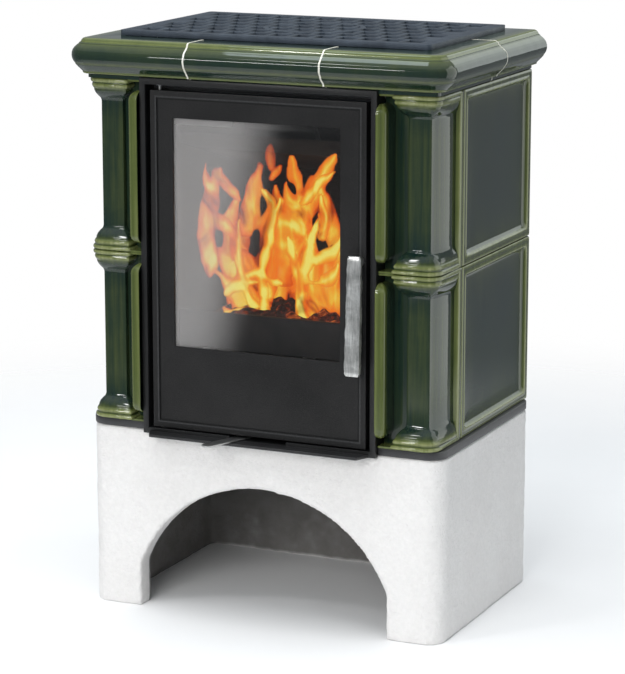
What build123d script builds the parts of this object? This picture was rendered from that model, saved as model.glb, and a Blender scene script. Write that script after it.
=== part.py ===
from build123d import *
from math import cos, radians, sin, tan
import os

# Tiled wood stove on a plastered log plinth. Millimetres, +Z up, the door looks along -Y.
# The origin is on the floor, in the middle of the whole footprint, which runs from the tip
# of the air lever at the front to the end of the flue spigot at the back.

# ---------------------------------------------------------------- driving sizes
# Tiled body
tile_width = 624.0            # across the two tiled sides
tile_depth = 408.0            # tiled front face to the rear edge
tile_height = 285.0           # one course of tiles
tile_rows = 2
lap = 1.0                     # how far a cut or a fused block reaches past its face
pilaster_side = 96.0          # leg of a corner tile along the side
pilaster_corner_r = 28.0      # plan radius of a corner tile at its outermost rib
pilaster_face = 80.0          # width of the pilaster's head and foot on the front face
shaft_recess = 20.0           # how far the shaft stands behind the ribs
tile_wall = 12.0              # fired thickness of a tile's face
bead_height = 8.0             # rounded rib at the head and foot of a corner tile
bead_round = 2.6
lip_height = 8.0              # second, smaller rib
lip_recess = 4.0              # it stands this far behind the first
lip_round = 2.0
rib_groove = 3.5              # groove between the two, behind the first
rim_width = 17.0              # flat border round a tile's panel
rim_round = 2.5               # rounding of that border
panel_recess = 9.0            # depth of the sunk panel of a side tile
panel_slope = 10.0            # width of the sloping edge of that panel
reed_width = 18.0             # upright rounded reed beside the door frame
reed_proud = 13.0             # its crest ahead of the tile's ribs
reed_bevel = 6.0              # bevel of its edge towards the pilaster
reed_end_r = 15.0             # its ends round off towards the pilaster
reed_end_gap = 16.0           # from the end of the tile to the end of the reed
channel_recess = 30.0         # bottom of the channel between reed and pilaster
joint_strip = 3.0             # raised strip across the channel at each end of the tile
ledge_depth = 24.0            # ledges behind a tile that carry the next course
ledge_thickness = 10.0

# Cornice
cornice_neck = 7.0            # plain recessed neck under the cornice
neck_recess = 2.0
cornice_height = 65.0         # neck included
torus_out = 25.0              # the round nose stands this far beyond the tiles
torus_crest = 0.56            # height of its crest, as a share of the cornice's height
torus_undercut = 6.0          # the sloping underside ends this far behind the crest
cornice_slope = 17.5          # height of that sloping underside
cornice_nib = 7.0             # the underside starts this far beyond the tiles
cornice_shoulder = 12.0       # the nose ends this far beyond the tiles
cornice_step = 7.0            # small step between the nose and the flat top
cornice_top_out = 3.5         # the flat top ends this far beyond the tiles
cornice_corner_r = 14.0       # plan radius of the cornice over the tile face
cornice_shelf = 50.0          # width of the flat top, measured in from the tile face
cornice_wall = 14.0
cornice_plate = 12.0          # thickness of the flat top
shelf_drop = 1.0              # the closing web at the back ends this far below the top
front_joint_x = 119.0         # upright joints of the cornice, left and right of the middle
side_joint_back = 220.0       # side joint, behind the tiled front face
grout = 2.5                   # width of a pointed joint

# Top grille
grille_width = 550.0
grille_depth = 336.0
grille_back = 6.0             # its middle lies this far behind the tiles' middle
grille_thickness = 9.0
grille_corner_r = 7.0
grille_border = 20.0
slot_pitch = 39.0             # from opening to opening along a row
slot_rib = 8.0                # iron left between two openings
slot_rows = 7
ring_outer_r = 85.0           # flat ring cast into the middle of the grille
ring_width = 9.0
lug_size = 10.0               # feet under the grille that stop it sliding

# Plinth and steel tray
plinth_height = 309.0
plinth_corner_r = 34.0
plinth_wall = 42.0
plinth_top = 40.0
arch_width = 448.0
arch_crown = 226.5            # height of the arch above the floor
arch_spring = 75.0            # height at which the arch starts
tray_overhang = 6.0           # tray and plinth stand this far beyond the tiles
tray_gap = 0.4                # between the plinth and the frame's overhanging part
tray_height = 13.0
tray_sheet = 4.0
tray_corner_r = 32.0

# Door frame and door
frame_width = 418.0
frame_bottom_z = 306.0
frame_over_tiles = 5.0        # its top edge above the tiles
frame_strip = 10.0            # face width of the frame
frame_sill = 10.0             # height of its bottom bar
frame_gap = 1.0               # between the frame and the tiles
frame_proud = 17.0            # frame's face ahead of the tiles
door_gap_side = 8.0
door_gap_top = 9.0
door_gap_bottom = 2.2
door_sink = 2.0               # the door's face lies this far behind the frame's
door_depth = 25.0
door_plate = 6.0              # thickness of the door's face plate
door_border = 12.0            # raised border of the face
door_panel_sink = 2.0
door_rib = 31.0               # solid rib round the back of the door
glass_width = 296.0
glass_below_top = 43.8        # window below the door's top edge
glass_side_shift = -3.0       # the window sits a little towards the hinges
glass_above_door_foot = 139.0
glass_thickness = 4.0
glass_lap = 6.0               # glass behind the face plate, all round
seal_tape = 1.0
tape_inset = 1.0              # the tape starts this far outside the window
rope_width = 8.0
rope_groove = 3.0
rope_inset = 24.0             # centre of the rope from the door's edge
clip_width = 22.0
clip_foot = 6.0               # foot of a clip, beside the glass
clip_lap = 6.0                # its blade over the glass
clip_sheet = 2.0
clip_apart = 180.0

# Hinge
pin_r = 3.0
pin_inset = 12.0              # from the hinge edge of the door to the pin
pin_back = 14.0               # from the door's face to the pin's centre
pin_hold = 6.0                # length of pin inside the door
washer_r = 7.0
washer_thickness = 2.0        # a little less than the gap under the door
pin_play = 0.5                # the bores in the door are this much deeper than the pins
running_gap = 0.05            # radial clearance of a turning fit
seat_gap = 0.3                # clearance between pieces that only meet

# Handle and latch
handle_length = 192.0
handle_top_width = 23.0
handle_foot_width = 26.0
handle_thickness = 10.0
handle_thicker = 1.0          # how much thicker its foot is
handle_round = 2.0            # rounding of its long edges
handle_top_stand = 13.0       # back of the handle ahead of the door at the top
handle_foot_stand = 23.0      # and at its foot
handle_above_spindle = 11.0
spindle_r = 6.0
boss_wall = 3.0               # boss round the spindle
boss_gap = 0.5                # between the boss and the door
boss_sink = 4.0               # the boss ends this far inside the bar
boss_end_wall = 2.0           # left in front of the spindle's end
spindle_inset = 11.0          # from the door's free edge to the spindle
spindle_share = 0.548         # height of the spindle in the door, as a share of its height
cam_thickness = 4.0
cam_stand = 0.5               # cam behind the door
cam_hub_r = 8.5
cam_reach = 16.0
cam_width = 10.0
cam_gap = 0.8                 # between the cam's nose and the keeper plate
keeper_length = 64.0
keeper_depth = 27.0
keeper_gap = 1.0              # in front of the firebox
keeper_screw_inset = 6.5      # its screws from its ends
flat_head = 1.0               # height of their heads

# Air control under the door
lever_width = 20.0
lever_thickness = 3.0
lever_gap = 3.0               # left beside the lever at the ends of its travel
lever_lift = 0.5              # lever above the ash lip
lever_arm = 164.0             # pivot to the centre of the rounded tip
lever_rest_deg = 22.0         # stored swung to the left
lever_pivot_back = 77.0       # pivot behind the tiled front face
valve_r = 46.0
valve_thickness = 3.4
valve_hole_r = 8.0            # half the side of a square hole
valve_hole_circle = 27.0
valve_holes = 4
pivot_r = 5.0
nut_r = 8.0
nut_height = 4.0
ash_lip_reach = 25.0
ash_lip_thickness = 4.8
ash_lip_width = 394.0
ash_lip_chamfer = 11.0
edge_round = 1.2              # rounding of the edges of the ash lip and the door, bevel of the keeper

# Firebox and its lining
firebox_width = 412.0
firebox_wall = 4.0
firebox_setback = 17.0        # tiled front face to the firebox's front
firebox_back = 366.0          # tiled front face to the firebox's rear wall
firebox_top_gap = 12.0        # firebox top under the tiles' upper edge
mouth_above_tray = 24.0       # firebox mouth above the tray
mouth_below_top = 31.0        # firebox mouth below its top
mouth_width = 316.0
shelf_height = 98.0           # steel shelf above the tray
lining = 30.0
lining_rear_height = 280.0    # rear lining above the shelf
baffle_rise = 90.0            # how much higher the linings' front edge is
baffle_thickness = 25.0
baffle_length = 246.0
baffle_gap = 1.0              # round the baffle, so that it can be lifted out
grate_width = 220.0
grate_depth = 160.0
grate_thickness = 20.0
grate_gap = 2.0               # between the grate and the floor lining
grate_slots = 9
grate_border = 10.0
grate_open = 0.55             # share of the grate that is open, along its width
guard_height = 91.0
guard_sheet = 5.0
guard_gap = 2.0               # at its ends
guard_round = 2.0             # rounding of its top edges
guard_back = 10.0             # guard behind the firebox's front plate
pan_width = 280.0
pan_depth = 262.0
pan_height = 62.0
pan_sheet = 1.5
pan_rail = 10.0
pan_gap = 4.0                 # front of the pan behind the firebox's front plate
grip_half = 45.0              # half the width of the pan's grip
grip_reach = 3.0
grip_sheet = 3.0
grip_drop = 9.0               # grip below the pan's upper edge

# Flue and rear
flue_r = 74.5                 # outside of the spigot, for a 150 mm pipe
flue_wall = 4.0
flue_reach = 60.0             # spigot behind the tiled body
flue_below_top = 96.0         # its axis below the top of the firebox
flue_step = 2.0               # the pipe stops against this step
flange_lap = 18.0
flange_thickness = 5.0
rear_inset = 14.0             # rear sheet ahead of the tiles' rear edge
rear_sheet = 2.0
panel_gap = 1.0               # at the sheet's sides
flue_hole_gap = 6.0           # round the spigot
louvre_rows = 5
louvre_pitch = 18.0
louvre_width = 150.0
louvre_height = 6.0
louvre_side = 95.0            # middle of a field of slots, from the middle of the sheet
louvre_rise = 60.0            # lowest slot above the tray
screw_rise = 30.0             # end screws of the rear sheet from its edges
post_leg = 25.0
post_sheet = 3.0
screw_r = 2.5
screw_head_r = 4.5
screw_head = 2.5

# ---------------------------------------------------------------- planes worked out from them
lever_reach = lever_arm * cos(radians(lever_rest_deg)) + lever_width / 2 - lever_pivot_back
overall_depth = lever_reach + tile_depth + flue_reach
front_y = -overall_depth / 2 + lever_reach
rear_y = front_y + tile_depth
mid_y = (front_y + rear_y) / 2
half_width = tile_width / 2
tray_z = plinth_height + tray_height
tile_top_z = tray_z + tile_rows * tile_height
cornice_top_z = tile_top_z + cornice_height

frame_y = front_y - frame_proud
frame_half = frame_width / 2
frame_top_z = tile_top_z + frame_over_tiles
inner_half = frame_half - frame_strip
inner_bottom_z = frame_bottom_z + frame_sill
inner_top_z = frame_top_z - frame_strip
tile_edge_x = frame_half + frame_gap

firebox_front_y = front_y + firebox_setback
firebox_rear_y = front_y + firebox_back
firebox_top_z = tile_top_z - firebox_top_gap
firebox_half = firebox_width / 2

door_half = inner_half - door_gap_side
door_front_y = frame_y + door_sink
door_rear_y = door_front_y + door_depth
door_bottom_z = inner_bottom_z + door_gap_bottom
door_top_z = inner_top_z - door_gap_top
door_height = door_top_z - door_bottom_z
pin_x = -door_half + pin_inset
pin_y = door_front_y + pin_back
pin_foot_z = frame_bottom_z + ash_lip_thickness
spindle_x = door_half - spindle_inset
spindle_z = door_bottom_z + spindle_share * door_height
glass_bottom_z = door_bottom_z + glass_above_door_foot
glass_height = door_top_z - glass_below_top - glass_bottom_z
glass_mid_z = glass_bottom_z + glass_height / 2
glass_front_y = door_front_y + door_plate + seal_tape

shelf_z = tray_z + shelf_height
pivot_y = front_y + lever_pivot_back
lever_z = frame_bottom_z + ash_lip_thickness + lever_lift
valve_z = lever_z + lever_thickness
flue_z = firebox_top_z - flue_below_top
flue_end_y = rear_y + flue_reach
ledge_back = shaft_recess + tile_wall + ledge_depth
panel_y = rear_y - rear_inset - rear_sheet

chamber_half = firebox_half - firebox_wall
lining_front_y = firebox_front_y + firebox_wall + guard_back + guard_sheet
lining_rear_y = firebox_rear_y - firebox_wall
lining_slope = baffle_rise / (lining_rear_y - lining_front_y)
mid_grate_y = (lining_front_y + lining_rear_y - lining) / 2


def block(x0, x1, y0, y1, z0, z1):
    """A box between two corners."""
    return Pos((x0 + x1) / 2, (y0 + y1) / 2, (z0 + z1) / 2) * Box(x1 - x0, y1 - y0, z1 - z0)


def rod(radius, length, at, axis="z"):
    """A cylinder that starts at a point and runs along +x, +y or +z."""
    turn = {"x": Rot(0, 90, 0), "y": Rot(-90, 0, 0), "z": Rot(0, 0, 0)}[axis]
    base = Cylinder(radius, length, align=(Align.CENTER, Align.CENTER, Align.MIN))
    return Pos(*at) * turn * base


def rounded_slab(width, depth, radius, y_mid, z0, height):
    """An upright prism with rounded plan corners."""
    return Pos(0, y_mid, z0) * extrude(RectangleRounded(width, depth, radius), height)


def hexagon(radius, length, at, axis="y"):
    """A six-sided head that starts at a point and runs along +x or +y."""
    turn = {"x": Rot(0, 90, 0), "y": Rot(-90, 0, 0)}[axis]
    return Pos(*at) * turn * extrude(RegularPolygon(radius, 6), length)


def mirrored(shape):
    return mirror(shape, Plane.YZ)


def along_x(section, x0, x1, y_face, z0):
    """Run a section (outwards, up) from x0 to x1; outwards is -Y."""
    plane = Plane(origin=(x1, y_face, z0), x_dir=(0, -1, 0), z_dir=(-1, 0, 0))
    return extrude(plane * section, x1 - x0)


def along_y(section, y0, y1, x_face, z0):
    """Run a section (outwards, up) from y0 to y1; outwards is +X."""
    plane = Plane(origin=(x_face, y1, z0), x_dir=(1, 0, 0), z_dir=(0, -1, 0))
    return extrude(plane * section, y1 - y0)


def round_corner(section, radius, z0):
    """Turn a section round the front right corner, about an axis inside the tile face."""
    centre_x = half_width - radius
    plane = Plane(origin=(centre_x, front_y, z0), x_dir=(0, -1, 0), z_dir=(-1, 0, 0))
    return revolve(plane * section, Axis((centre_x, front_y + radius, z0), (0, 0, 1)), 90)


# ---------------------------------------------------------------- plinth and tray
def make_plinth():
    width = tile_width + 2 * tray_overhang
    depth = tile_depth + 2 * tray_overhang
    body = rounded_slab(width, depth, plinth_corner_r, mid_y, 0, plinth_height)
    cavity_half = width / 2 - plinth_wall
    cavity_front = mid_y - depth / 2 + plinth_wall
    cavity_rear = mid_y + depth / 2 - plinth_wall
    body -= block(-cavity_half, cavity_half, cavity_front, cavity_rear, 0, plinth_height - plinth_top)
    arch = Polyline((arch_width / 2, arch_spring), (arch_width / 2, -lap), (-arch_width / 2, -lap),
                    (-arch_width / 2, arch_spring))
    arch += ThreePointArc((-arch_width / 2, arch_spring), (0, arch_crown), (arch_width / 2, arch_spring))
    mouth = Plane(origin=(0, cavity_front + lap, 0), x_dir=(1, 0, 0), z_dir=(0, -1, 0)) * make_face(arch)
    return body - extrude(mouth, plinth_wall + 2 * lap)


def air_holes(z0, height):
    ring = PolarLocations(valve_hole_circle, valve_holes, start_angle=45)
    holes = Part() + [place * Box(2 * valve_hole_r, 2 * valve_hole_r, height) for place in ring]
    return Pos(0, pivot_y, z0 + height / 2) * holes


def make_tray():
    width = tile_width + 2 * tray_overhang
    depth = tile_depth + 2 * tray_overhang
    body = rounded_slab(width, depth, tray_corner_r, mid_y, plinth_height, tray_height)
    hollow = rounded_slab(width - 2 * tray_sheet, depth - 2 * tray_sheet, tray_corner_r - tray_sheet,
                          mid_y, plinth_height, tray_height - tray_sheet)
    body -= hollow
    notch_half = frame_half + seat_gap
    body -= block(-notch_half, notch_half, front_y - 2 * tray_overhang, firebox_front_y, 0, tray_z + lap)
    body -= air_holes(tray_z - tray_sheet, tray_sheet)
    return body - rod(pivot_r, tray_height, (0, pivot_y, plinth_height))


# ---------------------------------------------------------------- tiles
def pilaster_section(back):
    """Rounded bead, groove, smaller lip, cove and plain shaft, the same at head and foot."""
    lip_z = bead_height + lip_round
    lip_top = bead_height + lip_height
    lip_x = -lip_recess - lip_round
    cove_r = shaft_recess + lip_x
    shaft_z = lip_top + cove_r
    foot = Polyline((-back, tile_height / 2), (-back, 0), (-bead_round, 0), (0, bead_round),
                    (0, bead_height - bead_round), (-rib_groove - lip_round, bead_height), (-lip_recess, lip_z),
                    (-lip_recess, lip_top - lip_round), (lip_x, lip_top))
    diagonal = cove_r * (1 - sin(radians(45)))
    foot += ThreePointArc((lip_x, lip_top), (-shaft_recess + diagonal, lip_top + diagonal),
                          (-shaft_recess, shaft_z))
    foot += Line((-shaft_recess, shaft_z), (-shaft_recess, tile_height / 2))
    foot += Line((-shaft_recess, tile_height / 2), (-back, tile_height / 2))
    half = make_face(foot)
    middle = Plane(origin=(0, tile_height / 2, 0), x_dir=(1, 0, 0), z_dir=(0, 1, 0))
    return half + mirror(half, middle)


def make_corner_tile(z0):
    """Right-hand corner tile; the left one is its mirror image."""
    r = pilaster_corner_r
    back = shaft_recess + tile_wall
    pilaster_x = half_width - pilaster_face
    side_end = front_y + pilaster_side
    tile = along_x(pilaster_section(back), pilaster_x, half_width - r, front_y, z0) & mitre(pilaster_x, z0)
    tile += along_y(pilaster_section(back), front_y + r, side_end, half_width, z0)
    tile += round_corner(pilaster_section(r), r, z0)
    rim = block(half_width - back, half_width, side_end - rim_width, side_end, z0, z0 + tile_height)
    tile += fillet(rim.edges().filter_by(Axis.Z).group_by(Axis.X)[-1], rim_round)
    channel = front_y + channel_recess
    shaft_x = pilaster_x + shaft_recess
    tile += block(tile_edge_x, shaft_x + tile_wall, channel, channel + tile_wall, z0, z0 + tile_height)
    for edge_z in (z0, z0 + tile_height - joint_strip):
        tile += block(tile_edge_x, pilaster_x + lip_recess, front_y + lip_recess, channel + lap, edge_z,
                      edge_z + joint_strip)
    tile += reed(channel, z0)
    for ledge_z in (z0, z0 + tile_height - ledge_thickness):
        ledge = block(tile_edge_x, half_width - back, front_y + back - lap, front_y + ledge_back,
                      ledge_z, ledge_z + ledge_thickness)
        ledge += block(half_width - ledge_back, half_width - back + lap, front_y + back - lap, side_end,
                       ledge_z, ledge_z + ledge_thickness)
        tile += ledge
    return tile


def mitre(pilaster_x, z0):
    """The pilaster's section returned at its inner end: the same outline, seen from the front."""
    section = pilaster_section(pilaster_face)
    plane = Plane(origin=(pilaster_x, front_y - lap, z0), x_dir=(-1, 0, 0), z_dir=(0, 1, 0))
    return extrude(plane * section, channel_recess + tile_wall)


def reed(channel, z0):
    """Upright reed against the door frame, bevelled on its outer edge, with rounded ends."""
    bar = block(tile_edge_x, tile_edge_x + reed_width, front_y - reed_proud, channel + lap,
                z0 + reed_end_gap, z0 + tile_height - reed_end_gap)
    outer = bar.edges().group_by(Axis.X)[-1]
    bar = fillet(outer.filter_by(Axis.Y), reed_end_r)
    crest = bar.faces().sort_by(Axis.Y)[0].edges().filter_by(Axis.Z)
    return chamfer(crest.sort_by(Axis.X)[-1], reed_bevel)


def make_side_tile(z0):
    """Right-hand side tile: rounded rim round a sunk, sloping-edged panel."""
    y0 = front_y + pilaster_side
    width = rear_y - y0
    y_mid = (y0 + rear_y) / 2
    z_mid = z0 + tile_height / 2
    tile = block(half_width - tile_wall, half_width, y0, rear_y, z0, z0 + tile_height)
    tile = fillet(tile.faces().sort_by(Axis.X)[-1].edges(), rim_round)
    face = Plane(origin=(half_width, y_mid, z_mid), x_dir=(0, 1, 0), z_dir=(1, 0, 0))
    wide = face * Rectangle(width - 2 * rim_width, tile_height - 2 * rim_width)
    low_plane = face.offset(-panel_recess)
    inset = 2 * (rim_width + panel_slope)
    narrow = low_plane * Rectangle(width - inset, tile_height - inset)
    tile -= loft([wide, narrow])
    back = half_width - tile_wall
    for ledge_z in (z0, z0 + tile_height - ledge_thickness):
        tile += block(half_width - ledge_back, back + lap, y0, panel_y - seat_gap, ledge_z,
                      ledge_z + ledge_thickness)
    margin = rim_width + panel_slope
    return tile + block(back - panel_recess, back + lap, y0 + margin, rear_y - margin, z0, z0 + tile_height)


# ---------------------------------------------------------------- cornice
def cornice_outer(inner):
    """The moulded part of the cornice section, from its back edge outwards."""
    neck_x = -neck_recess
    slope_x = torus_out - torus_undercut
    slope_z = cornice_neck + cornice_slope
    crest_z = torus_crest * cornice_height
    shoulder_z = cornice_height - cornice_step
    step_x = cornice_shoulder - lip_recess
    outline = Polyline((inner, cornice_height), (inner, 0), (neck_x, 0), (neck_x, cornice_neck),
                       (cornice_nib / 2, cornice_neck), (cornice_nib, cornice_neck + lip_round),
                       (slope_x, slope_z))
    outline += ThreePointArc((slope_x, slope_z), (torus_out, crest_z), (cornice_shoulder, shoulder_z))
    outline += Polyline((cornice_shoulder, shoulder_z), (step_x, shoulder_z),
                        (cornice_top_out, cornice_height - cornice_step / 2),
                        (cornice_top_out, cornice_height), (inner, cornice_height))
    return make_face(outline)


def cornice_section():
    shelf = Polyline((-cornice_shelf, cornice_height), (-cornice_shelf, cornice_height - cornice_plate),
                     (-cornice_wall, cornice_height - cornice_plate), (-cornice_wall, cornice_height),
                     close=True)
    return cornice_outer(-cornice_wall - neck_recess) + make_face(shelf)


def plain_section():
    """Rear strip: the same shelf with a plain upright back."""
    outline = Polyline((0, 0), (0, cornice_height), (-cornice_shelf, cornice_height),
                       (-cornice_shelf, cornice_height - cornice_plate),
                       (-cornice_wall, cornice_height - cornice_plate), (-cornice_wall, 0), close=True)
    return make_face(outline)


def make_cornice_corner():
    """Right-hand corner piece: front leg, rounded corner and side leg."""
    r = cornice_corner_r
    piece = along_x(cornice_section(), front_joint_x + grout / 2, half_width - r, front_y, tile_top_z)
    piece += along_y(cornice_section(), front_y + r, front_y + side_joint_back - grout / 2, half_width,
                     tile_top_z)
    return piece + round_corner(cornice_outer(-r), r, tile_top_z)


def make_cornice_side():
    """Right-hand side piece, closed at the back between its moulding and the rear strip."""
    y0 = front_y + side_joint_back + grout / 2
    piece = along_y(cornice_section(), y0, rear_y, half_width, tile_top_z)
    return piece + block(half_width - cornice_shelf, half_width - cornice_wall, rear_y - cornice_wall, rear_y,
                         tile_top_z, cornice_top_z - shelf_drop)


def make_cornice_rear():
    half = half_width - cornice_shelf
    plane = Plane(origin=(-half, rear_y, tile_top_z), x_dir=(0, 1, 0), z_dir=(1, 0, 0))
    return extrude(plane * plain_section(), 2 * half)


def make_grout():
    front = along_x(cornice_section(), front_joint_x - grout / 2, front_joint_x + grout / 2, front_y,
                    tile_top_z)
    y_mid = front_y + side_joint_back
    side = along_y(cornice_section(), y_mid - grout / 2, y_mid + grout / 2, half_width, tile_top_z)
    return Compound(children=[front, mirrored(front), side, mirrored(side)])


# ---------------------------------------------------------------- top grille
def make_grille():
    """Cast plate with staggered slots, a plain border and a flat ring in the middle."""
    plate_y = mid_y + grille_back
    plate = rounded_slab(grille_width, grille_depth, grille_corner_r, plate_y, cornice_top_z,
                         grille_thickness)
    field_half = grille_width / 2 - grille_border
    row_pitch = (grille_depth - 2 * grille_border + slot_rib) / slot_rows
    columns = int(2 * field_half / slot_pitch)
    opening = Rectangle(slot_pitch - slot_rib, row_pitch - slot_rib)
    openings = []
    for row in range(slot_rows):
        short = row % 2
        for column in range(columns - short):
            x = (column - (columns - 1 - short) / 2) * slot_pitch
            openings.append(Pos(x, (row - (slot_rows - 1) / 2) * row_pitch) * opening)
    ring = Circle(ring_outer_r) - Circle(ring_outer_r - ring_width)
    holes = (Sketch() + openings) - ring
    plate -= Pos(0, plate_y, cornice_top_z) * extrude(holes, grille_thickness)
    lug_x = half_width - cornice_shelf - lug_size
    lug_y = tile_depth / 2 - cornice_shelf - lug_size
    for sign_x in (-1, 1):
        for sign_y in (-1, 1):
            lug = Box(lug_size, lug_size, cornice_plate)
            plate += Pos(sign_x * lug_x, mid_y + sign_y * lug_y, cornice_top_z - cornice_plate / 2) * lug
    return plate


# ---------------------------------------------------------------- door frame and door
def make_front_frame():
    step_y = front_y - tray_overhang - tray_gap
    body = block(-frame_half, frame_half, frame_y, step_y, frame_bottom_z, frame_top_z)
    body += block(-frame_half, frame_half, step_y, firebox_front_y,
                  plinth_height + seat_gap, tile_top_z - seat_gap)
    body -= block(-inner_half, inner_half, frame_y - lap, firebox_front_y + lap, inner_bottom_z, inner_top_z)
    swing = tan(radians(lever_rest_deg)) * (pivot_y - frame_y) + lever_width / 2 + lever_gap
    body -= block(-swing, swing, frame_y - lap, firebox_front_y + lap, frame_bottom_z + ash_lip_thickness,
                  inner_bottom_z + lap)
    body -= rod(pin_r, frame_sill, (pin_x, pin_y, pin_foot_z))
    return body - rod(pin_r, frame_strip, (pin_x, pin_y, inner_top_z - lap))


def make_ash_lip():
    half = ash_lip_width / 2
    outline = Polyline((-half, frame_y), (half, frame_y), (half - ash_lip_chamfer, frame_y - ash_lip_reach),
                       (-half + ash_lip_chamfer, frame_y - ash_lip_reach), close=True)
    lip = Pos(0, 0, frame_bottom_z) * extrude(make_face(outline), ash_lip_thickness)
    front_edges = lip.edges().filter_by(Axis.X).group_by(Axis.Y)[0]
    return fillet(front_edges, edge_round)


def make_hinge_pins():
    lower = rod(pin_r, door_bottom_z + pin_hold - pin_foot_z, (pin_x, pin_y, pin_foot_z))
    lower += rod(washer_r, washer_thickness, (pin_x, pin_y, inner_bottom_z))
    upper = rod(pin_r, door_gap_top + pin_hold + frame_strip - lap, (pin_x, pin_y, door_top_z - pin_hold))
    upper += rod(washer_r, washer_thickness, (pin_x, pin_y, inner_top_z - washer_thickness))
    return Compound(children=[lower, upper])


def rectangle_ring(half_x, z0, z1, width, y0, depth):
    """Upright rectangular ring, measured along its centre line, running back from y0."""
    height = z1 - z0
    z_mid = (z0 + z1) / 2
    plane = Plane(origin=(0, y0, z_mid), x_dir=(1, 0, 0), z_dir=(0, -1, 0))
    outer = RectangleRounded(2 * half_x + width, height + width, width)
    inner = Rectangle(2 * half_x - width, height - width)
    return extrude(plane * (outer - inner), -depth)


def make_door_leaf():
    leaf = block(-door_half, door_half, door_front_y, door_rear_y, door_bottom_z, door_top_z)
    leaf = fillet(leaf.faces().sort_by(Axis.Y)[0].edges(), edge_round)
    pocket_half = door_half - door_rib
    leaf -= block(-pocket_half, pocket_half, door_front_y + door_plate, door_rear_y + lap,
                  door_bottom_z + door_rib, door_top_z - door_rib)
    panel_half = door_half - door_border
    leaf -= block(-panel_half, panel_half, door_front_y - lap, door_front_y + door_panel_sink,
                  door_bottom_z + door_border, door_top_z - door_border)
    glass_half = glass_width / 2
    leaf -= block(glass_side_shift - glass_half, glass_side_shift + glass_half, door_front_y - lap,
                  door_rear_y, glass_bottom_z, glass_bottom_z + glass_height)
    leaf -= rectangle_ring(door_half - rope_inset, door_bottom_z + rope_inset, door_top_z - rope_inset,
                           rope_width, door_rear_y - rope_groove, rope_groove + lap)
    bore = pin_r + running_gap
    leaf -= rod(bore, pin_hold + pin_play + lap, (pin_x, pin_y, door_bottom_z - lap))
    leaf -= rod(bore, pin_hold + pin_play + lap, (pin_x, pin_y, door_top_z - pin_hold - pin_play))
    hole_y = door_front_y - lap
    return leaf - rod(spindle_r + running_gap, door_depth + 2 * lap, (spindle_x, hole_y, spindle_z), "y")


def glass_outline(lap):
    return Rectangle(glass_width + 2 * lap, glass_height + 2 * lap)


def upright(sketch, y, depth):
    """Run a drawing in the door's plane back from y; its middle is the middle of the window."""
    plane = Plane(origin=(glass_side_shift, y, glass_mid_z), x_dir=(1, 0, 0), z_dir=(0, -1, 0))
    return extrude(plane * sketch, -depth)


def make_glass():
    return upright(glass_outline(glass_lap), glass_front_y, glass_thickness)


def make_glass_seal():
    return upright(glass_outline(glass_lap) - glass_outline(tape_inset), glass_front_y - seal_tape, seal_tape)


def make_door_seal():
    """Rope in the groove, up to the firebox front it is pressed on."""
    start = door_rear_y - rope_groove
    return rectangle_ring(door_half - rope_inset, door_bottom_z + rope_inset, door_top_z - rope_inset,
                          rope_width, start, firebox_front_y - start)


def at_clips(shape):
    """The same shape at the four glass clips: two above the glass, two below."""
    edge = glass_height / 2 + glass_lap
    placed = []
    for x in (-clip_apart / 2, clip_apart / 2):
        placed.append(Pos(glass_side_shift + x, 0, glass_mid_z + edge) * shape)
        placed.append(Pos(glass_side_shift + x, 0, glass_mid_z - edge) * Rot(0, 180, 0) * shape)
    return Compound(children=placed)


def make_clips():
    """Stepped steel clips that press the glass on its tape; each has a foot beside the glass."""
    half = clip_width / 2
    back_y = glass_front_y + glass_thickness
    clip = block(-half, half, door_front_y + door_plate, back_y, seat_gap, clip_foot)
    clip += block(-half, half, back_y, back_y + clip_sheet, -clip_lap, clip_foot)
    return at_clips(clip)


def make_clip_screws():
    head_y = glass_front_y + glass_thickness + clip_sheet
    return at_clips(hexagon(screw_r, screw_head, (0, head_y, clip_foot / 2)))


# ---------------------------------------------------------------- handle and latch
def make_handle():
    """Forged flat bar, wider and further out at its foot, on a short boss."""
    top_z = spindle_z + handle_above_spindle
    foot_z = top_z - handle_length
    top_y = door_front_y - handle_top_stand - handle_thickness / 2
    foot_y = door_front_y - handle_foot_stand - handle_thickness / 2
    head = Pos(spindle_x, top_y, top_z) * RectangleRounded(handle_top_width, handle_thickness, handle_round)
    foot_outline = RectangleRounded(handle_foot_width, handle_thickness + handle_thicker, handle_round)
    bar = loft([Pos(spindle_x, foot_y, foot_z) * foot_outline, head])
    boss_y = door_front_y - boss_gap
    boss_end = boss_y - handle_top_stand - boss_sink
    bar += rod(spindle_r + boss_wall, boss_y - boss_end, (spindle_x, boss_end, spindle_z), "y")
    bore_end = boss_end + boss_end_wall
    return bar - rod(spindle_r, boss_y - bore_end, (spindle_x, bore_end, spindle_z), "y")


def make_spindle():
    start = door_front_y - boss_gap - handle_top_stand - boss_sink + boss_end_wall
    end = door_rear_y + cam_stand + cam_thickness
    return rod(spindle_r, end - start, (spindle_x, start, spindle_z), "y")


def make_cam():
    """Flat cam: a hub on the spindle and a rounded nose towards the frame."""
    y0 = door_rear_y + cam_stand
    cam = rod(cam_hub_r, cam_thickness, (spindle_x, y0, spindle_z), "y")
    tip_r = cam_width / 2
    cam += block(spindle_x, spindle_x + cam_reach - tip_r, y0, y0 + cam_thickness, spindle_z - tip_r,
                 spindle_z + tip_r)
    cam += rod(tip_r, cam_thickness, (spindle_x + cam_reach - tip_r, y0, spindle_z), "y")
    return cam - rod(spindle_r, cam_thickness + 2 * lap, (spindle_x, y0 - lap, spindle_z), "y")


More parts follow.
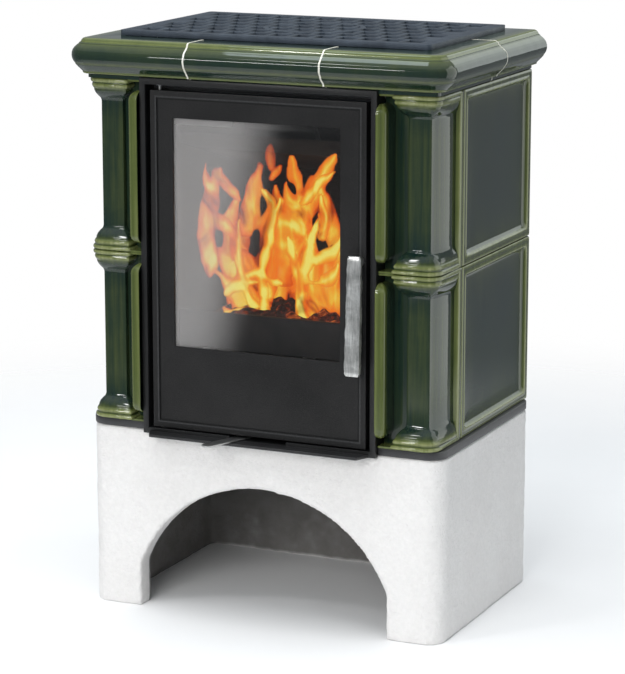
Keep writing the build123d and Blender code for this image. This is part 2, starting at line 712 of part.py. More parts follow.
def make_keeper():
    """Plate on the frame's inner side that the nose of the cam runs along."""
    inner = spindle_x + cam_reach + cam_gap
    half = keeper_length / 2
    plate = block(inner, inner_half, firebox_front_y - keeper_gap - keeper_depth, firebox_front_y - keeper_gap,
                  spindle_z - half, spindle_z + half)
    return chamfer(plate.edges().filter_by(Axis.Z).group_by(Axis.X)[0], edge_round)


def make_keeper_screws():
    inner = spindle_x + cam_reach + cam_gap
    y = firebox_front_y - keeper_gap - keeper_depth / 2
    reach = keeper_length / 2 - keeper_screw_inset
    heads = []
    for sign in (-1, 1):
        heads.append(hexagon(screw_head_r, flat_head, (inner - flat_head, y, spindle_z + sign * reach), "x"))
    return Compound(children=heads)


def make_air_lever():
    """Flat tongue with a rounded tip and an eye round the pivot, swung to the left."""
    tongue = block(-lever_width / 2, lever_width / 2, -lever_arm, 0, 0, lever_thickness)
    tongue += rod(lever_width / 2, lever_thickness, (0, -lever_arm, 0))
    tongue += rod(lever_width, lever_thickness, (0, 0, 0))
    tongue -= rod(pivot_r + running_gap, lever_thickness, (0, 0, 0))
    return Pos(0, pivot_y, lever_z) * Rot(0, 0, -lever_rest_deg) * tongue


def make_valve():
    disc = rod(valve_r, valve_thickness, (0, pivot_y, valve_z))
    disc -= rod(pivot_r + running_gap, valve_thickness, (0, pivot_y, valve_z))
    return disc - air_holes(valve_z, valve_thickness)


def make_pivot():
    foot_z = plinth_height + seat_gap
    head = extrude(RegularPolygon(2 * pivot_r, 6), lever_z - seat_gap - foot_z)
    shank = rod(pivot_r, tray_z + nut_height + lap - foot_z, (0, pivot_y, foot_z))
    nut = extrude(RegularPolygon(nut_r, 6), nut_height)
    return Pos(0, pivot_y, foot_z) * head + shank + Pos(0, pivot_y, tray_z) * nut


# ---------------------------------------------------------------- firebox
def make_firebox_front():
    """Front plate with the mouth; the door's rope presses on it."""
    plate = block(-firebox_half, firebox_half, firebox_front_y, firebox_front_y + firebox_wall, tray_z,
                  firebox_top_z)
    half = mouth_width / 2
    return plate - block(-half, half, firebox_front_y - lap, firebox_front_y + firebox_wall + lap,
                         tray_z + mouth_above_tray, firebox_top_z - mouth_below_top)


def make_firebox_rear():
    """Rear plate with the hole of the flue."""
    y0 = firebox_rear_y - firebox_wall
    plate = block(-firebox_half, firebox_half, y0, firebox_rear_y, tray_z, firebox_top_z)
    return plate - rod(flue_r - flue_wall, firebox_wall, (0, y0, flue_z), "y")


def make_firebox_side():
    return block(chamber_half, firebox_half, firebox_front_y + firebox_wall, firebox_rear_y - firebox_wall,
                 tray_z, firebox_top_z)


def firebox_plate(z0):
    """Level plate between the four walls of the firebox."""
    return block(-chamber_half, chamber_half, firebox_front_y + firebox_wall, firebox_rear_y - firebox_wall,
                 z0, z0 + firebox_wall)


def make_firebox_top():
    z0 = firebox_top_z - firebox_wall
    return firebox_plate(z0) - rod(flue_r - flue_wall, firebox_wall, (0, mid_y, z0))


def make_firebox_floor():
    """Floor with the way of the combustion air and two rails for the ash pan."""
    way = valve_hole_circle + valve_hole_r
    plate = firebox_plate(tray_z)
    plate -= block(-way, way, pivot_y - way, pivot_y + way, tray_z - lap, tray_z + firebox_wall + lap)
    rail_z = tray_z + firebox_wall
    for sign in (-1, 1):
        x = sign * (pan_width / 2 - pan_rail)
        plate += block(x - pan_rail / 2, x + pan_rail / 2, firebox_front_y + firebox_wall, lining_rear_y,
                       rail_z, rail_z + pan_rail)
    return plate


def make_firebox_shelf():
    """Shelf over the ash room; it carries the grate and the linings."""
    half_x = grate_width / 2 - grate_border
    half_y = grate_depth / 2 - grate_border
    hole = block(-half_x, half_x, mid_grate_y - half_y, mid_grate_y + half_y, shelf_z - firebox_wall - lap,
                 shelf_z + lap)
    return firebox_plate(shelf_z - firebox_wall) - hole


def lining_top(y):
    """Height of the sloping seat under the baffle."""
    return shelf_z + lining_rear_height + lining_slope * (lining_rear_y - y)


def make_side_lining():
    outline = Polyline((lining_front_y, shelf_z), (lining_rear_y - seat_gap, shelf_z),
                       (lining_rear_y - seat_gap, lining_top(lining_rear_y)),
                       (lining_front_y, lining_top(lining_front_y)), close=True)
    plane = Plane(origin=(chamber_half - lining, 0, 0), x_dir=(0, 1, 0), z_dir=(1, 0, 0))
    return extrude(plane * make_face(outline), lining - seat_gap)


def make_rear_lining():
    front = lining_rear_y - lining
    outline = Polyline((front, shelf_z), (lining_rear_y - seat_gap, shelf_z),
                       (lining_rear_y - seat_gap, lining_top(lining_rear_y)), (front, lining_top(front)),
                       close=True)
    half = chamber_half - lining
    plane = Plane(origin=(-half, 0, 0), x_dir=(0, 1, 0), z_dir=(1, 0, 0))
    return extrude(plane * make_face(outline), 2 * half)


def make_baffle():
    rear = lining_rear_y - baffle_gap
    front = rear - baffle_length
    outline = Polyline((rear, lining_top(rear)), (rear, lining_top(rear) + baffle_thickness),
                       (front, lining_top(front) + baffle_thickness), (front, lining_top(front)), close=True)
    half = chamber_half - baffle_gap
    plane = Plane(origin=(-half, 0, 0), x_dir=(0, 1, 0), z_dir=(1, 0, 0))
    return extrude(plane * make_face(outline), 2 * half)


def make_floor_lining():
    half = chamber_half - lining
    floor = block(-half, half, lining_front_y, lining_rear_y - lining, shelf_z, shelf_z + lining)
    hole_x = grate_width / 2 + grate_gap
    hole_y = grate_depth / 2 + grate_gap
    return floor - block(-hole_x, hole_x, mid_grate_y - hole_y, mid_grate_y + hole_y, shelf_z - lap,
                         shelf_z + lining + lap)


def make_grate():
    plate = block(-grate_width / 2, grate_width / 2, mid_grate_y - grate_depth / 2,
                  mid_grate_y + grate_depth / 2, shelf_z, shelf_z + grate_thickness)
    pitch = (grate_width - 2 * grate_border) / grate_slots
    slot = Rectangle(pitch * grate_open, grate_depth - 4 * grate_border)
    row = [Pos((i - (grate_slots - 1) / 2) * pitch, 0) * slot for i in range(grate_slots)]
    return plate - Pos(0, mid_grate_y, shelf_z) * extrude(Sketch() + row, grate_thickness)


def make_guard():
    """Log guard: an upright plate with a rounded top edge, standing on the shelf."""
    half = chamber_half - guard_gap
    guard = block(-half, half, lining_front_y - guard_sheet, lining_front_y, shelf_z, shelf_z + guard_height)
    return fillet(guard.edges().filter_by(Axis.X).group_by(Axis.Z)[-1], guard_round)


def make_ash_pan():
    y0 = firebox_front_y + firebox_wall + pan_gap
    z0 = tray_z + firebox_wall + pan_rail
    half = pan_width / 2
    pan = block(-half, half, y0, y0 + pan_depth, z0, z0 + pan_height)
    pan -= block(-half + pan_sheet, half - pan_sheet, y0 + pan_sheet, y0 + pan_depth - pan_sheet,
                 z0 + pan_sheet, z0 + pan_height + lap)
    grip_z = z0 + pan_height - grip_drop
    return pan + block(-grip_half, grip_half, y0 - grip_reach, y0 + lap, grip_z - grip_sheet, grip_z)


# ---------------------------------------------------------------- flue, posts and rear panel
def make_flue_collar():
    """Spigot for the flue pipe, stepped at the tiles' rear edge, on a square flange."""
    tube = rod(flue_r, flue_end_y - firebox_rear_y, (0, firebox_rear_y, flue_z), "y")
    tube += rod(flue_r + flue_step, rear_y - firebox_rear_y, (0, firebox_rear_y, flue_z), "y")
    half = flue_r + flange_lap
    tube += block(-half, half, firebox_rear_y, firebox_rear_y + flange_thickness, flue_z - half, flue_z + half)
    return tube - rod(flue_r - flue_wall, overall_depth, (0, firebox_rear_y - lap, flue_z), "y")


def make_flue_cover():
    """Cover on the unused upper flue hole."""
    return rod(flue_r + flue_step, firebox_wall, (0, mid_y, firebox_top_z))


def make_posts():
    """Four steel angles that stand on the tray behind the tiles."""
    outer_x = half_width - ledge_back - seat_gap
    edge_y = tile_depth / 2 - ledge_back - seat_gap
    rear_edge_y = tile_depth / 2 - rear_inset - rear_sheet
    posts = []
    for corner_y, inward in ((-edge_y, 1), (rear_edge_y, -1)):
        angle = Pos(-post_leg / 2, inward * post_leg / 2) * Rectangle(post_leg, post_leg)
        inside = Pos(-post_leg / 2 - post_sheet, inward * (post_leg / 2 + post_sheet))
        angle -= inside * Rectangle(post_leg, post_leg)
        post = Pos(outer_x, mid_y + corner_y, tray_z) * extrude(angle, tile_top_z - tray_z)
        posts += [post, mirrored(post)]
    return Compound(children=posts)


def make_rear_panel():
    """Rear sheet with two fields of air slots and the hole for the spigot."""
    half = half_width - tile_wall - panel_gap
    panel = block(-half, half, panel_y, panel_y + rear_sheet, tray_z, tile_top_z)
    panel -= rod(flue_r + flue_hole_gap, rear_sheet + 2 * lap, (0, panel_y - lap, flue_z), "y")
    slot = Rectangle(louvre_width, louvre_height)
    slots = []
    for row in range(louvre_rows):
        for sign in (-1, 1):
            slots.append(Pos(sign * louvre_side, tray_z + louvre_rise + row * louvre_pitch) * slot)
    plane = Plane(origin=(0, panel_y - lap, 0), x_dir=(1, 0, 0), z_dir=(0, -1, 0))
    return panel - extrude(plane * (Sketch() + slots), -rear_sheet - 2 * lap)


def make_rear_screws():
    x = half_width - ledge_back - seat_gap - post_leg / 2
    screws = []
    for sign in (-1, 1):
        for z in (tray_z + screw_rise, (tray_z + tile_top_z) / 2, tile_top_z - screw_rise):
            screws.append(hexagon(screw_head_r, screw_head, (sign * x, panel_y + rear_sheet, z)))
    return Compound(children=screws)


def write_parts():
    os.makedirs("parts", exist_ok=True)
    nodes = {
        "plinth": make_plinth(),
        "base_tray": make_tray(),
        "tile_posts": make_posts(),
        "cornice_front": along_x(cornice_section(), -front_joint_x + grout / 2, front_joint_x - grout / 2,
                                 front_y, tile_top_z),
        "cornice_rear": make_cornice_rear(),
        "cornice_grout": make_grout(),
        "grille": make_grille(),
        "firebox_front": make_firebox_front(),
        "firebox_rear": make_firebox_rear(),
        "firebox_top": make_firebox_top(),
        "firebox_floor": make_firebox_floor(),
        "firebox_shelf": make_firebox_shelf(),
        "flue_collar": make_flue_collar(),
        "flue_cover": make_flue_cover(),
        "lining_rear": make_rear_lining(),
        "lining_floor": make_floor_lining(),
        "baffle": make_baffle(),
        "grate": make_grate(),
        "log_guard": make_guard(),
        "ash_pan": make_ash_pan(),
        "rear_panel": make_rear_panel(),
        "rear_screws": make_rear_screws(),
        "front_frame": make_front_frame(),
        "ash_lip": make_ash_lip(),
        "hinge_pins": make_hinge_pins(),
        "latch_keeper": make_keeper(),
        "keeper_screws": make_keeper_screws(),
        "door_leaf": make_door_leaf(),
        "door_glass": make_glass(),
        "glass_seal": make_glass_seal(),
        "glass_clips": make_clips(),
        "clip_screws": make_clip_screws(),
        "door_seal": make_door_seal(),
        "handle": make_handle(),
        "handle_spindle": make_spindle(),
        "latch_cam": make_cam(),
        "air_lever": make_air_lever(),
        "air_valve": make_valve(),
        "air_pivot": make_pivot(),
    }
    pairs = {
        "corner_tile_low": make_corner_tile(tray_z),
        "corner_tile_high": make_corner_tile(tray_z + tile_height),
        "side_tile_low": make_side_tile(tray_z),
        "side_tile_high": make_side_tile(tray_z + tile_height),
        "cornice_corner": make_cornice_corner(),
        "cornice_side": make_cornice_side(),
        "lining_side": make_side_lining(),
        "firebox_side": make_firebox_side(),
    }
    for name, shape in pairs.items():
        nodes[name + "_right"] = shape
        nodes[name + "_left"] = mirrored(shape)
    for name, shape in nodes.items():
        export_step(shape, "parts/" + name + ".step")


write_parts()
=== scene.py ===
"""Looks of the tiled stove: glazed tiles, cornice, iron door with a fire behind glass, plastered plinth."""

from math import cos, pi, radians, sin, sqrt

import bmesh
import bpy
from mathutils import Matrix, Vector, noise


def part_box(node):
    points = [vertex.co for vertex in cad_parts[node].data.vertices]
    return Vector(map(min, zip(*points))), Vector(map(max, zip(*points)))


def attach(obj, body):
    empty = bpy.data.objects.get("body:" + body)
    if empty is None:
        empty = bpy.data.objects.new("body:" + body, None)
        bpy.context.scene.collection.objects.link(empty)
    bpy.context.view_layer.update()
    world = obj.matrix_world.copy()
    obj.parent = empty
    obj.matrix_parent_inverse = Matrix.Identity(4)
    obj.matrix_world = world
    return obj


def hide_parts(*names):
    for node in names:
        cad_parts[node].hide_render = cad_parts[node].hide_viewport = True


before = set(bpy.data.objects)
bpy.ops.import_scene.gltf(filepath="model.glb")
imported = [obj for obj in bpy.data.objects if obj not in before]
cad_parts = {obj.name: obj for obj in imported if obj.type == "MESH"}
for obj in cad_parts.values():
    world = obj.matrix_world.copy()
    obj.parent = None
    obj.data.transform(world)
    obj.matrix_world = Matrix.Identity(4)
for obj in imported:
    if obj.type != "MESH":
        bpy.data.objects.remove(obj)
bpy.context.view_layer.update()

# ---------------- places read from the frame
tile_lo, tile_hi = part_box("corner_tile_low_right")
side_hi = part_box("side_tile_low_right")[1]
nose_lo, nose_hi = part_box("cornice_front")
frame_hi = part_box("front_frame")[1]
leaf_lo, leaf_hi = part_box("door_leaf")
glass_lo, glass_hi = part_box("door_glass")
plinth_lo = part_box("plinth")[0]
handle_lo, handle_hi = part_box("handle")
spindle_lo, spindle_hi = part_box("handle_spindle")
bed_lo, bed_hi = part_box("lining_floor")
bend_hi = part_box("cornice_corner_right")[1]
flue_lo, flue_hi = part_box("flue_collar")

FRONT = tile_lo.y            # plane of the tiles' outermost ribs
HALF = tile_hi.x             # half the width across the tiled sides
TRAY_Z = tile_lo.z           # top of the steel tray, where the tiles start
TILE_H = tile_hi.z - tile_lo.z
TILE_TOP = nose_lo.z         # where the cornice starts
REAR = side_hi.y
SIDE_START = tile_hi.y       # joint between corner tile and side tile
FRAME_X = frame_hi.x

# ---------------- small sizes, metres
PILASTER_X = HALF - 0.080    # inner end of the ribs on the front
CORNER_R = 0.028             # plan radius of the ribs round the corner
ARRIS_R = 0.0022             # and of the shaft, which is nearly sharp there
SHAFT = 0.020                # recess of the shaft
SWELL = 0.0120               # the shaft's side swells outwards by this much on its way to the rim
CHANNEL = 0.030              # recess of the channel beside the door frame
REED_WIDTH = 0.0170
REED_PROUD = 0.0130          # crest of the reed ahead of the ribs
REED_END = 0.0150            # length over which its ends are rounded
STRIP = 0.0030               # thin strip along the joint between two tiles
RIM = 0.0165                 # width of the corner tile's rim beside the side tile
SHAFT_END = SIDE_START - RIM + 0.002    # the shaft's side ends inside that rim
CORNICE_R = 0.014            # plan radius of the cornice's corner, in line with the ribs
CORNICE_REACH = 0.0495       # how far its top slab reaches inwards
CORNICE_WALL = 0.0140        # inner face of its upright part
CORNICE_SLAB = 0.0530        # underside of the slab above the tiles
GROUT = 0.0025               # width of the cornice's pointed joints
HAIR = 0.0002                # smallest gap or overlap between two pieces
FLUE_BORE = 0.0703           # inside of the flue spigot, less a hair
DOOR_BORDER = 0.012          # from the door's edge to the groove round its sunk panel

# the log store's inside, where dark grey shade is painted, a few millimetres past its walls and its ceiling
STORE_HALF = 0.280
STORE_TOP = 0.270
STORE_FRONT = FRONT + 0.036
STORE_REAR = REAR - 0.036

# the painted reflection on the glass, which ends along a slanting line
REFLECTION_SLOPE = 0.206           # how far the line moves along X for each metre up
REFLECTION_EDGE = -0.172           # its X at the height of the floor
REFLECTION_SOFT = 0.058            # half the width over which the film fades out
REFLECTION_POWER = 0.255           # share of the pane's clearness that it takes

# the sheets of flames: their reach across and up, and the size of their mesh
FLAME_X = (-0.168, 0.150)
FLAME_Z = (0.455, 0.790)
FLAME_STEP = 0.0024

# strength of the studio's own light: before the stove, behind it and added overhead
WORLD_FRONT = 0.25
WORLD_REAR = 0.31
WORLD_TOP = 0.50

# the photograph's view
CAMERA_PLACE = (1.904, -4.2025, 1.448)
CAMERA_DOWN = 12.26          # degrees below level
CAMERA_TURN = 24.32          # degrees to the left of straight ahead
CAMERA_LENS = 149.5          # millimetres


# ---------------- mesh helpers
# Each vertex of a glazed piece has a thin value, 0 where the glaze pools and 1 where it runs thin.


def finish_mesh(name, bm, smooth_angle=38):
    """Turn a bmesh into an object with smooth faces and sharp edges past an angle."""
    mesh = bpy.data.meshes.new(name)
    bm.normal_update()
    bm.to_mesh(mesh)
    bm.free()
    mesh.polygons.foreach_set("use_smooth", [True] * len(mesh.polygons))
    mesh.set_sharp_from_angle(angle=radians(smooth_angle))
    obj = bpy.data.objects.new(name, mesh)
    bpy.context.scene.collection.objects.link(obj)
    return obj


def dress(obj, material, body, *nodes):
    """Give a new piece its material, the body it rides on and the CAD nodes it stands for."""
    obj.data.materials.append(material)
    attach(obj, body)
    if nodes:
        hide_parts(*nodes)


def add_row(bm, thin, points):
    """A row of vertices, one for each pair of a place and its thin value."""
    row = []
    for place, value in points:
        vert = bm.verts.new(place)
        vert[thin] = value
        row.append(vert)
    return row


def skin(bm, rows, closed=False):
    """Faces between neighbouring rows of vertices, each row an open line or a closed ring."""
    count = len(rows[0])
    for near, far in zip(rows, rows[1:]):
        for j in range(count if closed else count - 1):
            k = (j + 1) % count
            bm.faces.new((near[j], near[k], far[k], far[j]))


def soften_outline(points, radius):
    """Round the corners of a closed outline of (out, up, thin) points."""
    steps = 2
    most = 0.42                  # share of an edge that one corner may take
    straight = radians(170)      # a corner flatter than this stays as it is
    result = []
    count = len(points)
    for i, point in enumerate(points):
        here = Vector(point)
        before = Vector(points[i - 1])
        after = Vector(points[(i + 1) % count])
        back = (before - here).to_2d()
        ahead = (after - here).to_2d()
        reach = min(radius, most * back.length, most * ahead.length)
        if reach < 1e-5 or back.angle(ahead, 0) > straight:
            result.append(here)
            continue
        start = here.lerp(before, reach / back.length)
        end = here.lerp(after, reach / ahead.length)
        for step in range(steps + 1):
            t = step / steps
            result.append(start.lerp(here, t).lerp(here.lerp(end, t), t))
    return result


def sweep(name, outline, stations, place):
    """Skin a closed outline along stations; place(station, out, up) gives each point."""
    bm = bmesh.new()
    thin = bm.verts.layers.float.new("thin")
    rows = []
    for station in stations:
        points = [(place(station, out, up), value) for out, up, value in outline]
        rows.append(add_row(bm, thin, points))
    skin(bm, rows, closed=True)
    bm.faces.new(rows[0][::-1])
    bm.faces.new(rows[-1])
    bmesh.ops.remove_doubles(bm, verts=bm.verts, dist=1e-6)
    bmesh.ops.recalc_face_normals(bm, faces=bm.faces)
    return finish_mesh(name, bm)


def mirror_copy(obj, name):
    """The same piece on the other side of X = 0."""
    bm = bmesh.new()
    bm.from_mesh(obj.data)
    for vert in bm.verts:
        vert.co.x = -vert.co.x
    bmesh.ops.reverse_faces(bm, faces=bm.faces)
    return finish_mesh(name, bm)


def dress_pair(right, name, material, node):
    """Dress a right-hand piece and its mirror image on the left."""
    dress(mirror_copy(right, f"{name}_left"), material, "stove", f"{node}_left")
    dress(right, material, "stove", f"{node}_right")


def softened(node, width):
    """A copy of a CAD node whose edges are rounded."""
    sharp_from = radians(30)
    bm = bmesh.new()
    bm.from_mesh(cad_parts[node].data)
    bmesh.ops.remove_doubles(bm, verts=bm.verts, dist=1e-6)
    bmesh.ops.dissolve_limit(bm, angle_limit=radians(1.0), verts=bm.verts, edges=bm.edges)
    sharp = [e for e in bm.edges if len(e.link_faces) == 2 and e.calc_face_angle(0) > sharp_from]
    bmesh.ops.bevel(bm, geom=sharp, offset=width, offset_type="OFFSET", segments=2, profile=0.5,
                    affect="EDGES", clamp_overlap=True, harden_normals=False)
    return finish_mesh("soft_" + node, bm, 45)


def add_box(bm, thin, value, x0, x1, y0, y1, z0, z1):
    """Add a box with one thin value."""
    for vert in bmesh.ops.create_cube(bm, size=1)["verts"]:
        vert.co = Vector((x0 + (x1 - x0) * (vert.co.x + 0.5), y0 + (y1 - y0) * (vert.co.y + 0.5),
                          z0 + (z1 - z0) * (vert.co.z + 0.5)))
        vert[thin] = value


# ---------------- materials
class Tree:
    """A node tree, built by short calls."""

    def __init__(self, tree):
        self.tree = tree

    def node(self, kind, inputs=(), **settings):
        made = self.tree.nodes.new("ShaderNode" + kind)
        for key, value in settings.items():
            setattr(made, key, value)
        for key, value in dict(inputs).items():
            socket = made.inputs[key]
            if isinstance(value, bpy.types.NodeSocket):
                self.tree.links.new(value, socket)
            else:
                socket.default_value = value
        return made

    def ramp(self, value, *stops):
        made = self.node("ValToRGB", {"Fac": value})
        elements = made.color_ramp.elements
        while len(elements) < len(stops):
            elements.new(0.5)
        for element, (position, colour) in zip(elements, stops):
            element.position = position
            element.color = (*colour, 1)
        return made.outputs["Color"]

    def greys(self, value, *stops):
        """A ramp through levels of grey."""
        return self.ramp(value, *[(position, (level, level, level)) for position, level in stops])

    def smooth_step(self, value, start, end, low, high):
        """low before start, high after end, and a soft change between them."""
        sockets = {"Value": value, "From Min": start, "From Max": end, "To Min": low, "To Max": high}
        return self.node("MapRange", sockets, interpolation_type="SMOOTHSTEP").outputs[0]

    def band(self, value, centre, core, reach):
        """1 within core of a centre, 0 past reach."""
        away = self.math("ABSOLUTE", self.math("SUBTRACT", value, centre))
        return self.smooth_step(away, core, reach, 1.0, 0.0)

    def math(self, operation, a, b=0.0, clamp=False):
        return self.node("Math", {0: a, 1: b}, operation=operation, use_clamp=clamp).outputs[0]

    def spread(self, value, low, high):
        """Map 0..1 to low..high."""
        return self.node("MapRange", {"Value": value, "To Min": low, "To Max": high}).outputs[0]

    def mix(self, factor, a, b, blend="MIX"):
        made = self.node("Mix", data_type="RGBA", blend_type=blend)
        for index, value in ((0, factor), (6, a), (7, b)):
            if isinstance(value, bpy.types.NodeSocket):
                self.tree.links.new(value, made.inputs[index])
            else:
                made.inputs[index].default_value = value if index == 0 else (*value, 1)
        return made.outputs[2]

    def bump(self, height, strength, distance, normal=None):
        inputs = {"Height": height, "Strength": strength, "Distance": distance}
        if normal:
            inputs["Normal"] = normal
        return self.node("Bump", inputs).outputs[0]


class Shader(Tree):
    """A material's node tree round its main shader."""

    def __init__(self, name, **sockets):
        self.material = bpy.data.materials.new(name)
        self.material.use_nodes = True
        super().__init__(self.material.node_tree)
        self.main = self.tree.nodes["Principled BSDF"]
        for key, value in sockets.items():
            self.main.inputs[key.replace("_", " ")].default_value = value
        self.coords = self.node("TexCoord").outputs["Object"]

    def noise(self, scale, detail, rough=0.55, distortion=0.0, stretch=None):
        vector = self.coords
        if stretch:
            vector = self.node("Mapping", {"Vector": vector, "Scale": stretch}).outputs[0]
        sockets = {"Vector": vector, "Scale": scale, "Detail": detail, "Roughness": rough,
                   "Distortion": distortion}
        return self.node("TexNoise", sockets).outputs["Fac"]

    def cells(self, scale, smoothness):
        sockets = {"Vector": self.coords, "Scale": scale, "Smoothness": smoothness}
        return self.node("TexVoronoi", sockets, feature="SMOOTH_F1").outputs["Distance"]

    def axes(self):
        return self.node("SeparateXYZ", {0: self.coords}).outputs

    def attribute(self, name):
        return self.node("Attribute", attribute_name=name).outputs["Fac"]

    def link(self, **sockets):
        for key, value in sockets.items():
            self.tree.links.new(value, self.main.inputs[key.replace("_", " ")])


def glaze_material(name, runs_size, runs_stretch, runs_power, waviness):
    """Bottle-green glaze: olive where it runs thin over edges and ribs, almost black where it pools."""
    s = Shader(name, IOR=1.52)
    flow = s.noise(9, 5, 0.6, 0.6)
    streak = s.noise(46, 4, 0.6, 0.3, (1, 1, 0.10))
    runs = s.noise(runs_size, 3, 0.6, 0.2, runs_stretch)
    thin = s.math("ADD", s.attribute("thin"), s.spread(flow, -0.12, 0.12))
    thin = s.math("ADD", thin, s.spread(streak, -0.10, 0.10))
    thin = s.math("ADD", thin, s.spread(runs, -runs_power, runs_power), True)
    colour = s.ramp(thin, (0.0, (0.006, 0.020, 0.017)), (0.14, (0.016, 0.031, 0.017)),
                    (0.34, (0.044, 0.060, 0.020)), (0.60, (0.080, 0.103, 0.026)),
                    (0.85, (0.140, 0.165, 0.052)), (1.0, (0.24, 0.26, 0.11)))
    speck = s.greys(s.noise(420, 2), (0.0, 0.75), (1.0, 1.15))
    colour = s.mix(0.5, colour, speck, "MULTIPLY")
    waves = s.bump(s.noise(14, 2, 0.4, 0.0, (1, 1, 0.5)), waviness, 0.0012)
    peel = s.bump(s.noise(160, 2, 0.5), 0.08, 0.0003, waves)
    s.link(Base_Color=colour, Normal=peel, Roughness=s.spread(s.noise(40, 3), 0.03, 0.08))
    return s.material


def plaster_material():
    """White coat over coarse plaster, trowelled by hand; the log store's inside is painted dark grey as
    shade.
    """
    s = Shader("plaster", Roughness=0.85)
    tone = s.ramp(s.noise(6, 6, 0.6), (0.3, (0.885, 0.862, 0.846)), (0.7, (0.935, 0.918, 0.904)))
    lumps = s.greys(s.noise(130, 5, 0.7, 0.3), (0.35, 0.95), (0.62, 1))
    tone = s.mix(1.0, tone, lumps, "MULTIPLY")
    x, y, z = s.axes()
    fade = 0.004
    mouth_fade = 0.006
    beside = s.smooth_step(s.math("ABSOLUTE", x), STORE_HALF, STORE_HALF + fade, 1.0, 0.0)
    behind = s.smooth_step(y, STORE_FRONT, STORE_FRONT + mouth_fade, 0.0, 1.0)
    before = s.smooth_step(y, STORE_REAR, STORE_REAR + fade, 1.0, 0.0)
    under = s.smooth_step(z, STORE_TOP, STORE_TOP + fade, 1.0, 0.0)
    # painted shade: inside the log store the white coat turns dark grey
    inside = s.math("MULTIPLY", s.math("MULTIPLY", beside, behind), s.math("MULTIPLY", before, under))
    painted_shade_grey = s.ramp(s.noise(22, 5), (0.3, (0.20, 0.19, 0.18)), (0.7, (0.28, 0.27, 0.26)))
    tone = s.mix(inside, tone, painted_shade_grey)
    grain = s.noise(150, 6, 0.7)
    trowel = s.noise(34, 5, 0.6, 0.8)
    coarse = s.bump(trowel, 0.85, 0.0042)
    s.link(Base_Color=tone, Normal=s.bump(grain, 1.0, 0.0036, coarse))
    return s.material


def black_paint_material(name, tone, grain_scale, rough):
    """Heat-proof black with a fine sandy grain, a little greyer where it is rubbed."""
    s = Shader(name)
    cloud = s.noise(12, 5)
    colour = s.ramp(cloud, (0.3, (tone, tone, tone * 1.06)), (0.75, (tone * 1.7, tone * 1.7, tone * 1.8)))
    grain = s.noise(grain_scale, 3, 0.6)
    s.link(Base_Color=colour, Roughness=s.spread(cloud, *rough), Normal=s.bump(grain, 0.35, 0.0004))
    return s.material


def door_material():
    """Heat-proof black of the door: a painted shade line in the groove round the sunk panel, a painted
    highlight beside it.
    """
    s = Shader("door_paint", Specular_IOR_Level=0.32)
    x, _, z = s.axes()

    def past(value, low, high):
        """How far a point lies past the panel's edge along an axis."""
        away = s.math("ABSOLUTE", s.math("SUBTRACT", value, 0.5 * (low + high)))
        return s.math("SUBTRACT", away, 0.5 * (high - low) - DOOR_BORDER)

    edge = s.math("MAXIMUM", past(x, leaf_lo.x, leaf_hi.x), past(z, leaf_lo.z, leaf_hi.z))
    # painted shade: a dark line in the groove; painted highlight: a light line on the border beside it,
    # where the step catches the light
    groove = s.band(edge, -0.0010, 0.0006, 0.0022)
    edge_highlight = s.band(edge, 0.0020, 0.0004, 0.0022)
    cloud = s.noise(12, 5)
    colour = s.ramp(cloud, (0.3, (0.0082, 0.0079, 0.0080)), (0.75, (0.0145, 0.0140, 0.0142)))
    colour = s.mix(edge_highlight, colour, (0.034, 0.034, 0.035))
    colour = s.mix(groove, colour, (0.0015, 0.0015, 0.0015))
    grain = s.noise(420, 3, 0.6)
    colour = s.mix(1.0, colour, s.greys(grain, (0.3, 0.72), (0.7, 1.25)), "MULTIPLY")
    s.link(Base_Color=colour, Roughness=s.spread(cloud, 0.38, 0.52), Normal=s.bump(grain, 0.6, 0.0008))
    return s.material


def iron_material(name, dark, light):
    """Cast iron with a pebbled skin."""
    s = Shader(name, Metallic=0.35)
    tone = s.ramp(s.noise(25, 6, 0.65), (0.3, dark), (0.75, light))
    pebbles = s.bump(s.noise(700, 4, 0.6), 0.45, 0.0006)
    s.link(Base_Color=tone, Roughness=s.spread(s.noise(60, 4), 0.42, 0.62), Normal=pebbles)
    return s.material


def steel_material(name, tone):
    """Bare steel with drawn lines."""
    s = Shader(name, Metallic=1.0)
    lines = s.noise(60, 3, 0.6, 0.0, (1, 1, 60))
    dull = tuple(0.72 * value for value in tone)
    colour = s.ramp(s.noise(18, 5), (0.3, dull), (0.7, tone))
    s.link(Base_Color=colour, Roughness=s.spread(lines, 0.28, 0.45), Normal=s.bump(lines, 0.12, 0.0003))
    return s.material


def hammered_material():
    """Bright forged bar with shallow dents: drawn lines along it, patches of dull scale."""
    s = Shader("hammered_steel", Metallic=1.0)
    dents = s.cells(62, 0.8)
    lines = s.noise(420, 4, 0.65, 0.2, (1, 1, 0.05))
    cloud = s.math("MULTIPLY", s.noise(30, 6, 0.65, 0.4), 0.6)
    patch = s.math("ADD", cloud, s.math("MULTIPLY", lines, 0.4))
    colour = s.ramp(patch, (0.34, (0.30, 0.30, 0.295)), (0.48, (0.56, 0.56, 0.545)),
                    (0.62, (0.88, 0.88, 0.86)))
    drawn = s.bump(lines, 0.35, 0.0005, s.bump(dents, 0.25, 0.0014))
    s.link(Base_Color=colour, Roughness=s.spread(patch, 0.50, 0.30), Normal=drawn)
    return s.material


def fireclay_material():
    """Refractory stone under thick soot, paler where the flames burn it clean."""
    s = Shader("fireclay", Roughness=0.95)
    soot = s.noise(7, 6, 0.65, 0.5)
    colour = s.ramp(soot, (0.40, (0.012, 0.010, 0.009)), (0.66, (0.045, 0.036, 0.028)),
                    (0.85, (0.14, 0.11, 0.08)))
    s.link(Base_Color=colour, Normal=s.bump(s.noise(220, 5, 0.7), 0.5, 0.0015))
    return s.material


